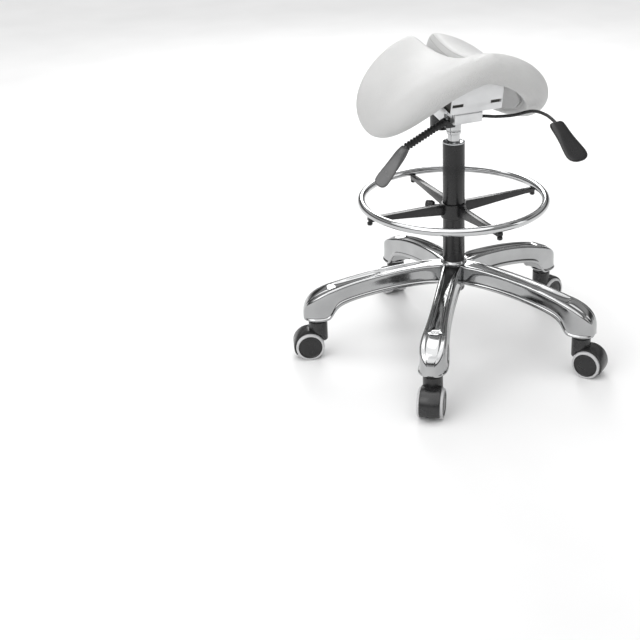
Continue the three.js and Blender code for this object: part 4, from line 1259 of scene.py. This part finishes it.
def makePan():
    # pressed steel pan with front and rear flanges that follow the shell
    for name, look, slotName in (("seat_frame", "pan", "zinc_plate"),
                                 ("seat_riser", "plywood", "riser_board")):
        node = frame["nodes"][name]
        twin = bpy.data.objects.new(name + "_plate", node.data.copy())
        bpy.context.scene.collection.objects.link(twin)
        shape = bmesh.new()
        shape.from_mesh(twin.data)
        bmesh.ops.remove_doubles(shape, verts=shape.verts, dist=1e-5)
        bmesh.ops.dissolve_limit(shape, angle_limit=rad(1), verts=shape.verts, edges=shape.edges)
        shape.to_mesh(twin.data)
        shape.free()
        finishPiece(soften(twin, 0.5, 2, 0, 35), "seat", finish[look], [name])


makePan()
for k in range(1, 5):
    node = frame["nodes"][f"seat_bolt_{k}"]
    node.data.materials.clear()
    node.data.materials.append(finish["satinSteel"])
print("pan done")


# floor, light and camera
floorMesh = makeMesh("floor", [(-9000, -9000, 0), (9000, -9000, 0), (9000, 9000, 0), (-9000, 9000, 0)],
                     [(0, 1, 2, 3)])
floorLook, floorTree, floorShader, floorPlace = startMaterial("paleFloor", Roughness=0.6)
floorCloud = addNode(floorTree, "ShaderNodeTexNoise", Vector=floorPlace, Scale=3.0, Detail=2.0)
blendColour(floorTree, floorShader, floorCloud.outputs["Fac"], (0.83, 0.83, 0.83), (0.86, 0.86, 0.86))
floorMesh.data.materials.append(floorLook)


def addLight(name, place, size, power, towards=(0, 0, 0.4)):
    data = bpy.data.lights.new(name, "AREA")
    data.shape, data.size, data.size_y, data.energy = "RECTANGLE", size[0], size[1], power
    lamp = bpy.data.objects.new(name, data)
    bpy.context.scene.collection.objects.link(lamp)
    lamp.location = place
    lamp.rotation_euler = (Vector(towards) - Vector(place)).to_track_quat("-Z", "Y").to_euler()
    return lamp


addLight("keySoftbox", (-2.6, -1.2, 2.4), (1.6, 1.6), 14)
addLight("fillSoftbox", (2.6, -1.8, 1.4), (0.8, 1.8), 6)
addLight("topSoftbox", (-0.2, 0.6, 3.0), (2.0, 2.0), 12)
addLight("backStrip", (1.0, 2.6, 2.0), (1.2, 1.6), 34)
sunData = bpy.data.lights.new("softSun", "SUN")
sunData.energy, sunData.angle = 2.0, rad(90)
softSun = bpy.data.objects.new("softSun", sunData)
bpy.context.scene.collection.objects.link(softSun)
softSun.rotation_euler = Vector((0.45, 0.35, -1.0)).to_track_quat("-Z", "Y").to_euler()

world = bpy.data.worlds.new("studio")
world.use_nodes = True
bpy.context.scene.world = world
sky = world.node_tree
backdrop = sky.nodes["Background"]
backdrop.inputs["Strength"].default_value = 0.65
toward = sky.nodes.new("ShaderNodeTexCoord")
split = addNode(sky, "ShaderNodeSeparateXYZ", Vector=toward.outputs["Generated"])
skyBands = addNode(sky, "ShaderNodeValToRGB", Fac=split.outputs["Z"])
skyBands.color_ramp.elements[0].position = 0.0
skyBands.color_ramp.elements[0].color = (0.9, 0.9, 0.9, 1)
skyBands.color_ramp.elements[1].position = 1.0
skyBands.color_ramp.elements[1].color = (1.0, 1.0, 1.0, 1)
for position, value in ((0.06, 0.8), (0.16, 0.12), (0.30, 0.10), (0.40, 0.8), (0.55, 0.7), (0.66, 0.15),
                        (0.8, 0.9)):
    stop = skyBands.color_ramp.elements.new(position)
    stop.color = (value, value, value, 1)
sky.links.new(skyBands.outputs["Color"], backdrop.inputs["Color"])

cameraView = {
    "azimuth": -28.05,
    "elevation": 21.62,
    "distance": 2.732,
    "target": Vector((0, 0, 0.3)),
    "lens": 67.3,
    "shiftX": -0.209,
    "shiftY": -0.147,
}
camera = bpy.data.objects.new("camera", bpy.data.cameras.new("camera"))
bpy.context.scene.collection.objects.link(camera)
camera.data.lens = cameraView["lens"]
camera.data.sensor_width = 36
camera.data.shift_x, camera.data.shift_y = cameraView["shiftX"], cameraView["shiftY"]
around, above = rad(cameraView["azimuth"]), rad(cameraView["elevation"])
away = Vector((math.sin(around) * math.cos(above), -math.cos(around) * math.cos(above), math.sin(above)))
camera.location = cameraView["target"] + away * cameraView["distance"]
camera.rotation_euler = (-away).to_track_quat("-Z", "Y").to_euler()
bpy.context.scene.camera = camera
bpy.context.scene.view_settings.view_transform = "Standard"
print("stage done")
